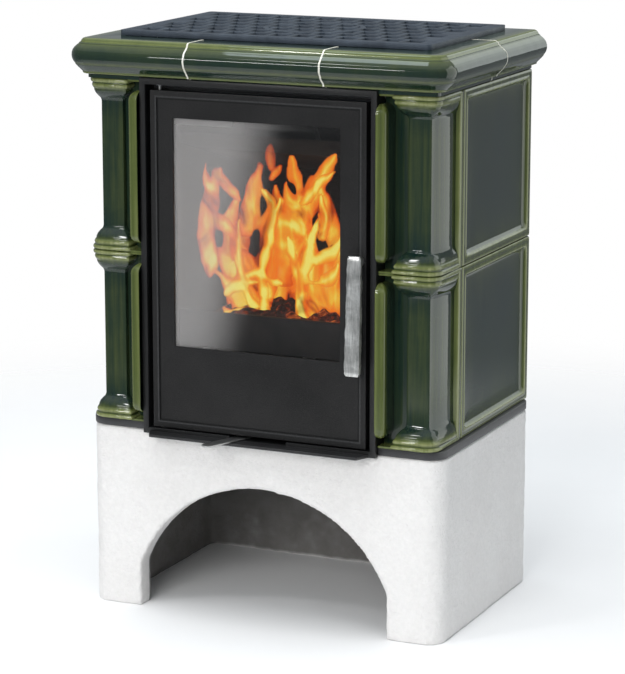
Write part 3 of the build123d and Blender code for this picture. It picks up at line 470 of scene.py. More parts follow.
def fabric_material(name, tone):
    """Woven glass fibre, seen as fine slanting threads; nearly black, it also serves for the painted shade
    in the flue's mouth.
    """
    s = Shader(name, Roughness=0.95)
    sockets = {"Vector": s.coords, "Scale": 160.0, "Distortion": 1.5}
    weave = s.node("TexWave", sockets, bands_direction="DIAGONAL").outputs["Fac"]
    dark = tuple(0.5 * value for value in tone)
    s.link(Base_Color=s.ramp(weave, (0.2, dark), (0.8, tone)), Normal=s.bump(weave, 0.6, 0.0008))
    return s.material


def pointing_material():
    """White mineral pointing, slightly stained."""
    s = Shader("pointing", Roughness=0.8)
    tone = s.ramp(s.noise(60, 5), (0.3, (0.62, 0.60, 0.50)), (0.7, (0.84, 0.83, 0.76)))
    s.link(Base_Color=tone, Normal=s.bump(s.noise(500, 4), 0.5, 0.0005))
    return s.material


def glass_material():
    """Heat-proof pane: clear towards the handle, with a pale painted reflection towards the hinges."""
    s = Shader("stove_glass", Base_Color=(0.75, 0.73, 0.72, 1), IOR=1.45, Roughness=0.0)
    slant = {0: s.coords, 1: (1.0, 0.0, -REFLECTION_SLOPE)}
    across = s.node("VectorMath", slant, operation="DOT_PRODUCT").outputs["Value"]
    # painted reflection: the pane turns paler towards the hinges, up to a slanting line
    painted_reflection = s.smooth_step(across, REFLECTION_EDGE - REFLECTION_SOFT, REFLECTION_EDGE + REFLECTION_SOFT, 1.0, 0.0)
    patchy_reflection = s.math("MULTIPLY", painted_reflection, s.spread(s.noise(7, 4, 0.6, 0.3), 0.94, 1.06))
    clear = s.math("SUBTRACT", 1.0, s.math("MULTIPLY", patchy_reflection, REFLECTION_POWER))
    x, _, z = s.axes()
    border = 0.0155              # the pane is paler within this distance of its top and its hinge side
    side = glass_lo.x + border - 0.0005
    # the paler band along the top fades out towards the handle
    brim = s.smooth_step(z, glass_hi.z - border - 0.002, glass_hi.z - border, 0.0, 0.045)
    brim = s.math("MULTIPLY", brim, s.smooth_step(x, 0.0, 0.10, 1.0, 0.12))
    edge = s.smooth_step(x, side, side + 0.002, 0.03, 0.0)
    s.link(Transmission_Weight=s.math("SUBTRACT", clear, s.math("MAXIMUM", brim, edge)))
    return s.material


def ember_material():
    """Charcoal with glowing cracks and patches."""
    s = Shader("embers", Roughness=0.9)
    glow = s.noise(58, 6, 0.7, 0.8)
    patch = s.noise(14, 3, 0.6)
    glow = s.math("ADD", glow, s.spread(patch, -0.16, 0.16))
    colour = s.ramp(glow, (0.48, (0.55, 0.02, 0.0)), (0.60, (1.0, 0.12, 0.01)), (0.74, (1.0, 0.42, 0.06)))
    power = s.greys(glow, (0.50, 0), (0.62, 0.18), (0.80, 1))
    s.link(Base_Color=s.ramp(s.noise(60, 5), (0.3, (0.010, 0.006, 0.006)), (0.8, (0.06, 0.035, 0.030))),
           Emission_Color=colour, Emission_Strength=s.math("MULTIPLY", power, 1.5),
           Normal=s.bump(s.noise(90, 6), 0.8, 0.004))
    return s.material


def flame_material(name, coolest, hottest):
    """Flame sheets: colour and cover come from the sheet's body value and from upright licks."""
    s = Shader(name, Base_Color=(0, 0, 0, 1), Roughness=1.0, Specular_IOR_Level=0.0, Emission_Strength=1.12)
    body = s.attribute("body")
    lick = s.noise(17, 2, 0.45, 1.5, (1, 1, 0.6))
    heat = s.math("ADD", s.math("MULTIPLY", body, 0.62), s.spread(lick, coolest, hottest), True)
    colour = s.ramp(heat, (0.0, (0.72, 0.08, 0.004)), (0.2, (1.0, 0.18, 0.010)), (0.42, (1.0, 0.28, 0.022)),
                    (0.60, (1.0, 0.40, 0.03)), (0.74, (1.0, 0.60, 0.06)), (0.95, (1.0, 0.88, 0.18)))
    rim = s.greys(body, (0.0, 0), (0.10, 0.85), (0.35, 1))
    veil = s.greys(lick, (0.30, 0.25), (0.46, 0.96))
    s.link(Emission_Color=colour, Alpha=s.math("MULTIPLY", rim, veil))
    return s.material


# ---------------- tiles
def pilaster_outline():
    """Beads, grooves and coves at foot and head with the plain shaft between, in metres."""
    foot = [(-0.0045, 0.0, 0.55), (-0.0012, 0.0012, 0.85), (0.0, 0.0040, 1.0),
            (-0.0012, 0.0068, 0.85), (-0.0042, 0.0082, 0.25), (-0.0036, 0.0095, 0.7),
            (-0.0026, 0.0125, 0.98), (-0.0040, 0.0156, 0.8), (-0.0062, 0.0178, 0.45),
            (-0.0068, 0.0215, 0.22), (-0.0096, 0.0262, 0.12), (-0.0138, 0.0306, 0.10),
            (-0.0180, 0.0340, 0.08), (-SHAFT, 0.0385, 0.10)]
    head = [(out, TILE_H - up, thin) for out, up, thin in reversed(foot)]
    shaft = [(-SHAFT, TILE_H * share, 0.22) for share in (0.25, 0.5, 0.75)]
    back = [(-0.0285, TILE_H, 0.1), (-0.0285, 0.0, 0.1)]
    return soften_outline(foot + shaft + head + back, 0.0010)


def corner_stations(start, radius, end_y):
    """Stations (base x, base y, out x, out y, way down the side): the start's, then round the corner."""
    centre_x = HALF - radius
    stations = list(start)
    stations.append((centre_x - 0.012, FRONT, 0, -1, 0))
    steps = 14
    for i in range(steps + 1):
        angle = 0.5 * pi * i / steps
        x, y = sin(angle), -cos(angle)
        stations.append((centre_x + radius * x, FRONT + radius + radius * y, x, y, 0))
    side_steps = 8
    for i in range(1, side_steps + 1):
        way = i / side_steps
        stations.append((HALF, FRONT + radius + (end_y - FRONT - radius) * way, 1, 0, way))
    return stations


def corner_place(station, out, up):
    """The ribs go round in a wide curve; the deeper the section, the sharper its corner."""
    x, y, dx, dy, way = station
    share = min(1.0, max(0.0, -out / SHAFT))
    if dx > 0 and way == 0:
        radius = CORNER_R + (ARRIS_R - CORNER_R) * share
        return Vector((HALF + out - radius + radius * dx, FRONT - out + radius + radius * dy, up))
    if dx == 1:
        start = FRONT - out + CORNER_R + (ARRIS_R - CORNER_R) * share
        bulge = SWELL * share * way * (2 - way)
        return Vector((HALF + out + bulge, start + (SHAFT_END - start) * way, up))
    if dx == 0:
        x += (CORNER_R - ARRIS_R - SHAFT) * share
    return Vector((x + dx * out, y + dy * out, up))


def make_corner_tile(name, z0):
    """Right-hand corner tile: pilaster with a mitred return towards the door, channel, reed and rim."""
    mitre = [(PILASTER_X, FRONT + CHANNEL + 0.002, -1, 0, 0), (PILASTER_X, FRONT + 0.003, -1, -1, 0),
             (PILASTER_X + 0.0008, FRONT + 0.0008, -1, -1, 0), (PILASTER_X + 0.003, FRONT, -1, -1, 0)]
    stations = corner_stations(mitre, CORNER_R, SHAFT_END)

    def place(station, out, up):
        return corner_place(station, out, z0 + up)

    tile = sweep(name, pilaster_outline(), stations, place)
    bm = bmesh.new()
    bm.from_mesh(tile.data)
    thin = bm.verts.layers.float.get("thin")
    add_rim_post(bm, thin, z0)
    add_channel(bm, thin, z0)
    bpy.data.objects.remove(tile)
    return finish_mesh(name, bm)


def add_rim_post(bm, thin, z0):
    """Upright rim at the joint with the side tile, rounded, with olive edges."""
    across = [(0.0, -0.022, 0.3), (0.0, -0.0035, 0.75), (0.0012, -0.0010, 1.0), (0.0034, 0.0, 0.85),
              (RIM * 0.5, 0.0, 0.55), (RIM - 0.0034, 0.0, 0.85), (RIM - 0.0012, -0.0010, 1.0),
              (RIM - 0.0003, -0.0035, 0.75), (RIM - 0.0003, -0.022, 0.2)]
    rows = []
    for up, drop in ((0.0003, 0.0022), (0.0022, 0.0), (TILE_H * 0.5, 0.0), (TILE_H - 0.0022, 0.0),
                     (TILE_H - 0.0003, 0.0022)):
        points = []
        for along, out, value in across:
            points.append(((HALF + out - drop, SIDE_START - RIM + along, z0 + up), value))
        rows.append(add_row(bm, thin, points))
    skin(bm, rows)


def add_channel(bm, thin, z0):
    """Sunk strip beside the door frame with its upright reed."""
    wall = 0.012                 # thickness of the tile behind the strip
    reed_inset = 0.016           # the reed starts this far from the tile's foot and head
    x0 = FRAME_X + 0.0010
    x1 = PILASTER_X + SHAFT + 0.004
    y = FRONT + CHANNEL
    add_box(bm, thin, 0.12, x0, x1, y, y + wall, z0, z0 + TILE_H)
    for edge in (z0 + HAIR, z0 + TILE_H - STRIP - HAIR):
        add_box(bm, thin, 0.70, x0, PILASTER_X + 0.003, FRONT + 0.004, y + 0.002, edge, edge + STRIP)
    add_reed(bm, thin, x0, y, z0 + reed_inset, z0 + TILE_H - reed_inset)


def add_reed(bm, thin, x0, y_back, z_low, z_high):
    """Tall reed against the frame: rounded crest, flat flank down to the channel, both ends drawn in."""
    crest_y = FRONT - REED_PROUD
    crest_r = 0.0075
    across = [(0.0, crest_y + 0.0012, 0.5), (0.0010, crest_y + 0.0002, 0.75)]
    for i in range(7):
        angle = 0.5 * pi * i / 6
        across.append((REED_WIDTH - crest_r + crest_r * sin(angle), crest_y + crest_r * (1 - cos(angle)),
                       0.50 + 0.22 * sin(2 * angle)))
    across += [(REED_WIDTH, crest_y + 0.016, 0.16), (REED_WIDTH, y_back + 0.001, 0.10)]
    narrow = 0.06                # share of the width left at the very ends
    sink = 0.55                  # and of the height by which they are drawn in
    rings = 40
    rows = []
    for i in range(rings + 1):
        z = z_low + (z_high - z_low) * 0.5 * (1 - cos(pi * i / rings))
        end = min(1.0, min(z - z_low, z_high - z) / REED_END)
        full = sqrt(1 - (1 - end) ** 2)
        points = []
        for dx, y, value in across:
            drop = (1 - full) * (y_back - y) * sink
            place = (x0 + dx * (narrow + (1 - narrow) * full), y + drop, z)
            points.append((place, value + 0.25 * (1 - full)))
        rows.append(add_row(bm, thin, points))
    skin(bm, rows)


def rounded_ring(y0, y1, z0, z1, radius):
    """Points of a rounded rectangle in the side's plane, always the same number."""
    corner_steps = 5
    edge_steps = 10
    points = []
    corners = ((y1 - radius, z0 + radius, -0.5 * pi), (y1 - radius, z1 - radius, 0.0),
               (y0 + radius, z1 - radius, 0.5 * pi), (y0 + radius, z0 + radius, pi))
    for index, (cy, cz, start) in enumerate(corners):
        for i in range(corner_steps + 1):
            angle = start + 0.5 * pi * i / corner_steps
            points.append((cy + radius * cos(angle), cz + radius * sin(angle)))
        after = corners[(index + 1) % 4]
        last = points[-1]
        ahead = (after[0] + radius * cos(after[2]), after[1] + radius * sin(after[2]))
        for i in range(1, edge_steps):
            t = i / edge_steps
            points.append((last[0] + (ahead[0] - last[0]) * t, last[1] + (ahead[1] - last[1]) * t))
    return points


def make_side_tile(name, z0):
    """Right-hand side tile: rounded rim with a fine inner bead round a sunk, slightly dished panel."""
    steps = [(0.0, -0.0120, 0.0015, 0.2), (0.0, -0.0036, 0.0015, 0.7), (0.0010, -0.0011, 0.0022, 1.0),
             (0.0032, 0.0, 0.003, 0.80), (0.0070, -0.0006, 0.004, 0.45), (0.0110, -0.0004, 0.005, 0.6),
             (0.0132, 0.0003, 0.005, 0.95), (0.0150, -0.0004, 0.006, 1.0), (0.0164, -0.0024, 0.007, 0.72),
             (0.0180, -0.0048, 0.008, 0.42), (0.0205, -0.0064, 0.009, 0.32), (0.0250, -0.0072, 0.011, 0.25),
             (0.0400, -0.0078, 0.015, 0.17), (0.0600, -0.0081, 0.020, 0.10), (0.0950, -0.0082, 0.020, 0.05)]
    gap = 0.0004                 # half a joint, beside the corner tile and between the courses
    bm = bmesh.new()
    thin = bm.verts.layers.float.new("thin")
    rows = []
    for inset, out, radius, value in steps:
        edge = gap + inset
        ring = rounded_ring(SIDE_START + edge, REAR - inset, z0 + edge, z0 + TILE_H - edge, radius)
        rows.append(add_row(bm, thin, [((HALF + out, y, z), value) for y, z in ring]))
    skin(bm, rows, closed=True)
    bm.faces.new(rows[-1])
    bm.faces.new(rows[0][::-1])
    bmesh.ops.recalc_face_normals(bm, faces=bm.faces)
    return finish_mesh(name, bm)


# ---------------- cornice
def cornice_outline(proud=0.0):
    """Neck, underside, round nose, small step and flat top; proud moves it outwards."""
    top = 0.064                  # what lies above this also moves up
    shape = [(-0.0020, 0.0, 0.05), (-0.0020, 0.0062, 0.05), (0.0052, 0.0070, 0.35), (0.0070, 0.0080, 0.8),
             (0.0074, 0.0104, 0.5), (0.0098, 0.0128, 0.16), (0.0148, 0.0176, 0.08), (0.0186, 0.0216, 0.2),
             (0.0198, 0.0240, 0.45), (0.0226, 0.0278, 0.16), (0.0243, 0.0320, 0.10), (0.0250, 0.0364, 0.10),
             (0.0246, 0.0412, 0.13), (0.0230, 0.0458, 0.18), (0.0200, 0.0498, 0.25), (0.0160, 0.0532, 0.33),
             (0.0128, 0.0556, 0.45), (0.0120, 0.0572, 0.25), (0.0100, 0.0580, 0.5), (0.0092, 0.0596, 0.85),
             (0.0080, 0.0618, 0.6), (0.0058, 0.0638, 0.7), (0.0028, 0.0648, 0.85), (0.0, 0.0650, 0.5),
             (-0.0200, 0.0650, 0.10), (-CORNICE_REACH, 0.0650, 0.10)]
    outline = [(out + proud, up + (proud if up > top else 0), thin) for out, up, thin in shape]
    back = [(-CORNICE_REACH, CORNICE_SLAB, 0.2), (-CORNICE_WALL, CORNICE_SLAB, 0.2),
            (-CORNICE_WALL, 0.0, 0.2)]
    return soften_outline(outline + back, 0.0006)


def cornice_place(station, out, up):
    """Round the corner outside its small radius, and with a plain mitre inside it."""
    x, y, dx, dy, _ = station
    x += dx * out
    y += dy * out
    if out < -CORNICE_R:
        x = min(x, HALF + out)
        y = max(y, FRONT - out)
    return Vector((x, y, TILE_TOP + up))


def close_end(side):
    """Close the hollow of the side's profile where it ends at the back."""
    bm = bmesh.new()
    bm.from_mesh(side.data)
    thin = bm.verts.layers.float.get("thin")
    web = 0.010                  # thickness of the piece that closes it
    overlap = 0.0010             # how far it reaches into the profile
    inner_x = HALF - CORNICE_REACH
    outer_x = HALF - CORNICE_WALL + overlap
    top_z = TILE_TOP + CORNICE_SLAB + 0.5 * overlap
    add_box(bm, thin, 0.2, inner_x, outer_x, REAR - web, REAR - HAIR, TILE_TOP + 2 * HAIR, top_z)
    name = side.name
    bpy.data.objects.remove(side)
    return finish_mesh(name, bm)


def make_cornice():
    """Its five glazed pieces, a front, two corners and two sides, and the pointing between them."""
    joint_x = nose_hi.x
    joint_y = bend_hi.y
    outline = cornice_outline()
    stations = [(x, FRONT, 0, -1, 0) for x in (-joint_x, 0, joint_x)]
    front = sweep("cornice_front_glazed", outline, stations, cornice_place)
    stations = corner_stations([(joint_x + GROUT, FRONT, 0, -1, 0)], CORNICE_R, joint_y)
    corner = sweep("cornice_corner_glazed_right", outline, stations, cornice_place)
    stations = [(HALF, y, 1, 0, 0) for y in (joint_y + GROUT, 0.5 * (joint_y + REAR), REAR)]
    side = sweep("cornice_side_glazed_right", outline, stations, cornice_place)
    side = close_end(side)
    dress(front, cornice_glaze, "stove", "cornice_front")
    dress_pair(corner, "cornice_corner_glazed", cornice_glaze, "cornice_corner")
    dress_pair(side, "cornice_side_glazed", cornice_glaze, "cornice_side")
    make_pointing(joint_x, joint_y)


def make_pointing(joint_x, joint_y):
    """Joints of the cornice, a hair proud and not quite straight."""
    outline = cornice_outline(0.0003)

    def wavy(station, out, up):
        point = cornice_place(station, out, up)
        shift = 0.0007 * noise.noise(Vector((out * 120, up * 120, station[0] * 7)))
        return point + Vector((shift * abs(station[3]), shift * abs(station[2]), 0))

    stations = [(x, FRONT, 0, -1, 0) for x in (joint_x - HAIR, joint_x + GROUT + HAIR)]
    front = sweep("pointing_front_right", outline, stations, wavy)
    stations = [(HALF, y, 1, 0, 0) for y in (joint_y - HAIR, joint_y + GROUT + HAIR)]
    side = sweep("pointing_side_right", outline, stations, wavy)
    front_left = mirror_copy(front, "pointing_front_left")
    side_left = mirror_copy(side, "pointing_side_left")
    for piece in (front, side, front_left, side_left):
        dress(piece, pointing, "stove", "cornice_grout")


# ---------------- plinth
def make_plinth():
    """Plastered plinth: the CAD solid rounded over and roughened by hand."""
    waves = ((0.0011, 11), (0.0007, 45), (0.0006, 85))    # height in metres and how often they come
    bm = bmesh.new()
    bm.from_mesh(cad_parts["plinth"].data)
    bmesh.ops.remove_doubles(bm, verts=bm.verts, dist=1e-6)
    base = finish_mesh("plinth_plaster", bm)
    remesh = base.modifiers.new("even", "REMESH")
    remesh.mode = "VOXEL"
    remesh.voxel_size = 0.005
    smooth = base.modifiers.new("round", "SMOOTH")
    smooth.factor = 0.5
    smooth.iterations = 3
    depsgraph = bpy.context.evaluated_depsgraph_get()
    mesh = bpy.data.meshes.new_from_object(base.evaluated_get(depsgraph))
    bpy.data.objects.remove(base)
    bm = bmesh.new()
    bm.from_mesh(mesh)
    bm.normal_update()
    for vert in bm.verts:
        rise = sum(height * noise.noise(vert.co * often) for height, often in waves)
        vert.co += vert.normal * rise
        vert.co.z = max(vert.co.z, plinth_lo.z)
    dress(finish_mesh("plinth_plaster", bm, 80), plaster, "stove", "plinth")


# ---------------- door furniture
def make_handle():
    """Forged bar, narrower at its top and leaning outwards at its foot, with the neck that carries it."""
    rings = 46
    around = 28
    lean = 0.0100                # its top lies this much nearer to the door than its foot
    squareness = 1.35            # flattens the four sides of its section
    neck_length = 0.0165
    centre_x = 0.5 * (handle_lo.x + handle_hi.x)
    bm = bmesh.new()
    rows = []
    for i in range(rings + 1):
        t = i / rings
        z = handle_lo.z + (handle_hi.z - handle_lo.z) * t
        half_w = 0.0129 - 0.0015 * t
        half_d = 0.0053 - 0.0004 * t
        mid_y = handle_lo.y + half_d + lean * t
        if i in (0, rings):
            half_w *= 0.86
            half_d *= 0.62
        row = []
        for j in range(around):
            angle = 2 * pi * j / around
            x = max(-1, min(1, squareness * cos(angle))) * half_w
            y = max(-1, min(1, squareness * sin(angle))) * half_d
            spot = Vector((x * 90, y * 90, z * 60))
            dent = 0.0006 * noise.noise(spot) + 0.0002 * noise.noise(spot * 2.7)
            grow = 1 + dent / 0.006
            row.append(bm.verts.new((centre_x + x * grow, mid_y + y * grow, z)))
        rows.append(row)
    skin(bm, rows, closed=True)
    bm.faces.new(rows[0][::-1])
    bm.faces.new(rows[-1])
    neck_y = handle_hi.y - 0.5 * neck_length
    neck_z = 0.5 * (spindle_lo.z + spindle_hi.z)
    neck = bmesh.ops.create_cone(bm, cap_ends=True, segments=32, radius1=0.0092, radius2=0.0084,
                                 depth=neck_length)["verts"]
    for vert in neck:
        vert.co = Vector((centre_x + vert.co.x, neck_y + vert.co.z, neck_z + vert.co.y))
    bmesh.ops.recalc_face_normals(bm, faces=bm.faces)
    dress(finish_mesh("handle_bar", bm, 50), hammered, "handle", "handle")


# ---------------- fire
def make_embers():
    """Mound of glowing charcoal on the floor of the fire chamber."""
    columns = 110
    lines = 80
    height = 0.074
    roughness = 0.020
    x0 = bed_lo.x + 0.012
    x1 = bed_hi.x - 0.012
    y0 = bed_lo.y + 0.010
    y1 = bed_hi.y - 0.010
    bm = bmesh.new()
    rows = []
    for i in range(lines + 1):
        v = i / lines
        y = y0 + (y1 - y0) * v
        row = []
        for j in range(columns + 1):
            u = j / columns
            x = x0 + (x1 - x0) * u
            dome = sin(pi * u) ** 0.35 * sin(pi * v) ** 0.35
            lump = noise.noise(Vector((x * 26, y * 26, 3))) + 0.55 * noise.noise(Vector((x * 70, y * 70, 9)))
            row.append(bm.verts.new((x, y, bed_hi.z + 0.004 + dome * (height + roughness * lump))))
        rows.append(row)
    skin(bm, rows)
    dress(finish_mesh("ember_bed", bm, 80), embers, "stove")


def tongue_points(tongue):
    """Centre line and half width of a tongue of flame, from its foot to its tip."""
    foot_x, foot_z, bend_x, bend_z, tip_x, tip_z, width = [value / 1000 for value in tongue]
    steps = 12
    points = []
    for i in range(steps + 1):
        t = i / steps
        x = (1 - t) ** 2 * foot_x + 2 * t * (1 - t) * bend_x + t * t * tip_x
        z = (1 - t) ** 2 * foot_z + 2 * t * (1 - t) * bend_z + t * t * tip_z
        points.append((x, z, 1.25 * width * (0.6 + 0.9 * t) * (1.02 - t) ** 0.7 + 0.0010))
    return points


def flame_body(x, z, lines, seed):
    """How far inside the flames a point lies, with curled edges and holes: 0 outside, 1 at the heart."""
    wide = noise.noise(Vector((x * 24, z * 16, seed)))
    fine = noise.noise(Vector((x * 80, z * 38, seed)))
    wx = x + 0.0080 * wide + 0.0038 * fine
    wz = z + 0.0120 * noise.noise(Vector((x * 26, z * 16, seed + 7)))
    far_x = 0.05                 # parts of a line further off than this are passed over
    far_z = 0.06
    total = 0.0
    for line in lines:
        best = 0.0
        for (ax, az, aw), (bx, bz, bw) in zip(line, line[1:]):
            if abs(wx - ax) > far_x or abs(wz - az) > far_z:
                continue
            run = (bx - ax) ** 2 + (bz - az) ** 2
            t = min(1.0, max(0.0, ((wx - ax) * (bx - ax) + (wz - az) * (bz - az)) / run))
            gap = sqrt((wx - ax - (bx - ax) * t) ** 2 + (wz - az - (bz - az) * t) ** 2)
            best = max(best, 1 - gap / (aw + (bw - aw) * t))
        total += best
    hole = noise.noise(Vector((x * 30, z * 17, seed + 21)))
    return min(1.0, total) - max(0.0, hole - 0.16) * 2.4


def make_flame(name, material, y, tongues, seed):
    """One sheet of flames behind the glass, gently curled; what lies outside the flames is left out."""
    bm = bmesh.new()
    body = bm.verts.layers.float.new("body")
    lines = [tongue_points(tongue) for tongue in tongues]
    rows = []
    for i in range(int((FLAME_Z[1] - FLAME_Z[0]) / FLAME_STEP) + 1):
        z = FLAME_Z[0] + i * FLAME_STEP
        row = []
        for j in range(int((FLAME_X[1] - FLAME_X[0]) / FLAME_STEP) + 1):
            x = FLAME_X[0] + j * FLAME_STEP
            curl = 0.010 * noise.noise(Vector((x * 12, z * 9, seed + 3)))
            vert = bm.verts.new((x, y + curl, z))
            vert[body] = flame_body(x, z, lines, seed)
            row.append(vert)
        rows.append(row)
    for near, far in zip(rows, rows[1:]):
        for j in range(len(near) - 1):
            square = (near[j], near[j + 1], far[j + 1], far[j])
            if max(vert[body] for vert in square) > 0:
                bm.faces.new(square)
    loose = [vert for vert in bm.verts if not vert.link_faces]
    bmesh.ops.delete(bm, geom=loose, context="VERTS")
    piece = finish_mesh(name, bm, 180)
    dress(piece, material, "stove")
    piece.visible_diffuse = False
    piece.visible_shadow = False


def make_flue_shade():
    """A near-black disc across the flue's mouth, painted shade, so that no daylight shows over the baffle.
    """
    rings = 8
    spokes = 48
    y = flue_lo.y + 0.012
    middle = 0.5 * (flue_lo.z + flue_hi.z)
    bm = bmesh.new()
    layers = [[bm.verts.new((0, y, middle))]]
    for i in range(1, rings + 1):
        radius = FLUE_BORE * i / rings
        layer = []
        for j in range(spokes):
            turn = 2 * pi * j / spokes
            x = radius * cos(turn)
            z = radius * sin(turn)
            curl = 0.006 * noise.noise(Vector((x * 30, z * 30, 4)))
            layer.append(bm.verts.new((x, y + curl, middle + z)))
        layers.append(layer)
    for j in range(spokes):
        after = (j + 1) % spokes
        bm.faces.new((layers[0][0], layers[1][after], layers[1][j]))
        for inner, outer in zip(layers[1:], layers[2:]):
            bm.faces.new((inner[j], inner[after], outer[after], outer[j]))
    dress(finish_mesh("flue_shade_disc", bm, 80), flue_shade_black, "stove")


def make_fire():
    """Three sheets of tongues, the nearest with the main shapes.

    A tongue is X and Z of its foot, its bend and its tip and then its half width, in millimetres.
    """
    make_embers()
    make_flue_shade()
    near = [(-138, 590, -150, 665, -120, 736, 19), (-126, 728, -104, 718, -82, 690, 11),
            (-138, 645, -104, 672, -70, 600, 15), (-136, 700, -150, 722, -146, 748, 8),
            (-60, 620, -72, 690, -60, 726, 10), (-141, 620, -132, 590, -134, 552, 15),
            (-70, 500, -92, 610, -46, 748, 29), (-20, 505, -74, 610, -6, 692, 30),
            (-45, 500, -85, 530, -124, 562, 16), (-30, 490, -75, 494, -112, 506, 12),
            (-2, 560, 0, 640, -20, 716, 17), (16, 580, 16, 660, 0, 722, 16),
            (46, 458, 54, 600, 26, 700, 26), (30, 650, 16, 700, 14, 764, 17),
            (26, 665, 52, 706, 86, 770, 24), (68, 530, 94, 620, 68, 720, 25),
            (74, 550, 90, 590, 108, 632, 19), (-25, 751, -27, 765, -24, 780, 8.5),
            (-26, 732, -20, 740, -11, 753, 6.5), (100, 515, 102, 536, 106, 556, 9),
            (74, 505, 92, 540, 88, 590, 17)]
    middle = [(-104, 500, -122, 600, -98, 690, 20), (-122, 560, -128, 620, -112, 664, 14),
              (-90, 500, -100, 560, -86, 640, 22), (-30, 490, -30, 560, -15, 650, 30),
              (20, 520, 12, 590, 34, 690, 28), (60, 520, 70, 600, 54, 670, 24)]
    bright = [(-34, 510, -44, 620, -4, 695, 10.5), (-28, 640, -10, 680, -40, 718, 9),
              (-52, 515, -94, 585, -76, 658, 9.5), (-108, 528, -70, 562, -46, 556, 7.5),
              (-62, 566, -30, 578, -2, 558, 8.5), (-108, 500, -60, 512, -28, 498, 8),
              (30, 500, 36, 600, 64, 668, 12), (46, 566, 82, 552, 100, 604, 12.5),
              (56, 600, 88, 600, 104, 648, 10.5), (38, 466, 32, 560, 10, 630, 10.5),
              (36, 690, 60, 722, 90, 748, 9.5), (70, 640, 80, 680, 70, 706, 9)]
    make_flame("flame_bright", bright_flame, bed_lo.y + 0.050, bright, 9.0)
    make_flame("flame_near", flame, bed_lo.y + 0.058, near, 1.0)
    make_flame("flame_middle", flame, bed_lo.y + 0.085, middle, 5.0)


# ---------------- stage
def make_floor():
    """Pale floor that fades out a couple of metres from the stove."""
    bm = bmesh.new()
    bmesh.ops.create_grid(bm, x_segments=1, y_segments=1, size=6)
    floor = finish_mesh("floor", bm)
    s = Shader("floor", Roughness=0.9, Specular_IOR_Level=0.1)
    distance = s.node("VectorMath", {0: s.coords}, operation="LENGTH").outputs["Value"]
    tone = s.ramp(s.noise(3, 4), (0.3, (0.93, 0.93, 0.93)), (0.7, (0.95, 0.95, 0.95)))
    s.link(Base_Color=tone, Alpha=s.smooth_step(distance, 1.0, 2.2, 1.0, 0.0))
    floor.data.materials.append(s.material)


def make_world():
    """Pale studio: brightest overhead, dimmer before the stove than behind it, white to the camera."""
    world = bpy.data.worlds.new("studio")
    bpy.context.scene.world = world
    world.use_nodes = True
    t = Tree(world.node_tree)
    direction = t.node("SeparateXYZ", {0: t.node("TexCoord").outputs["Generated"]}).outputs
    depth = t.smooth_step(direction["Y"], -0.35, 0.55, WORLD_FRONT, WORLD_REAR)
    lift = t.smooth_step(direction["Z"], 0.35, 0.9, 0.0, WORLD_TOP)
    seen = t.node("LightPath").outputs["Is Camera Ray"]
    strength = t.node("Mix", {0: seen, 2: t.math("ADD", depth, lift), 3: 1.0}).outputs[0]
    tone = t.mix(seen, (0.93, 0.99, 1.04), (1, 1, 1))
    background = t.tree.nodes["Background"]
    t.tree.links.new(strength, background.inputs["Strength"])
    t.tree.links.new(tone, background.inputs["Color"])


def area_light(name, place, target, size, power, colour=(1, 1, 1), lights="all"):
    """Rectangular light; "matte" only lights surfaces, "gloss" is only mirrored in them."""
    data = bpy.data.lights.new(name, "AREA")
    data.shape = "RECTANGLE"
    data.size, data.size_y = size
    data.energy = power
    data.color = colour
    obj = bpy.data.objects.new(name, data)
    obj.location = place
    direction = Vector(target) - Vector(place)
    obj.rotation_euler = direction.to_track_quat("-Z", "Y").to_euler()
    obj.visible_glossy = lights != "matte"
    obj.visible_diffuse = lights != "gloss"
    bpy.context.scene.collection.objects.link(obj)


def make_lights():
    """Soft lights for the surfaces, and boxes and a strip for the glaze to mirror."""
    area_light("front_soft", (0.2, -4.2, 2.0), (0, 0, 0.5), (2.2, 2.0), 92, lights="matte")
    area_light("overhead", (0.0, -0.4, 4.2), (0, 0, 0), (3.0, 3.0), 86, lights="matte")
    area_light("right_box", (2.5, 1.0, 1.2), (0.1, 0.4, 1.2), (3.2, 4.6), 72, (0.97, 1.0, 0.95),
               lights="gloss")
    area_light("small_box", (-0.95, -1.83, 2.67), (0, FRONT, 0.93), (0.32, 0.25), 7.5)
    area_light("top_box", (-0.52, -0.2, 2.6), (-0.1, -0.1, 0.9), (0.34, 0.55), 2.2, (0.80, 0.93, 1.0))
    area_light("nose_strip", (-0.90, -2.2, 1.53), (0, FRONT, 0.95), (0.60, 0.10), 12, lights="gloss")
    area_light("rear_box", (1.0, 2.67, 1.575), (0.33, 0.0, 1.575), (1.4, 1.65), 9.4, (0.93, 1.0, 0.97),
               lights="gloss")


def make_camera():
    """The photograph's view: from the right, a little above."""
    data = bpy.data.cameras.new("camera")
    data.lens = CAMERA_LENS
    camera = bpy.data.objects.new("camera", data)
    camera.location = CAMERA_PLACE
    camera.rotation_euler = (radians(90 - CAMERA_DOWN), 0, radians(CAMERA_TURN))
    bpy.context.scene.collection.objects.link(camera)
    bpy.context.scene.camera = camera
    bpy.context.scene.view_settings.view_transform = "Standard"


# ---------------- put together
make_camera()
make_world()
make_lights()
make_floor()

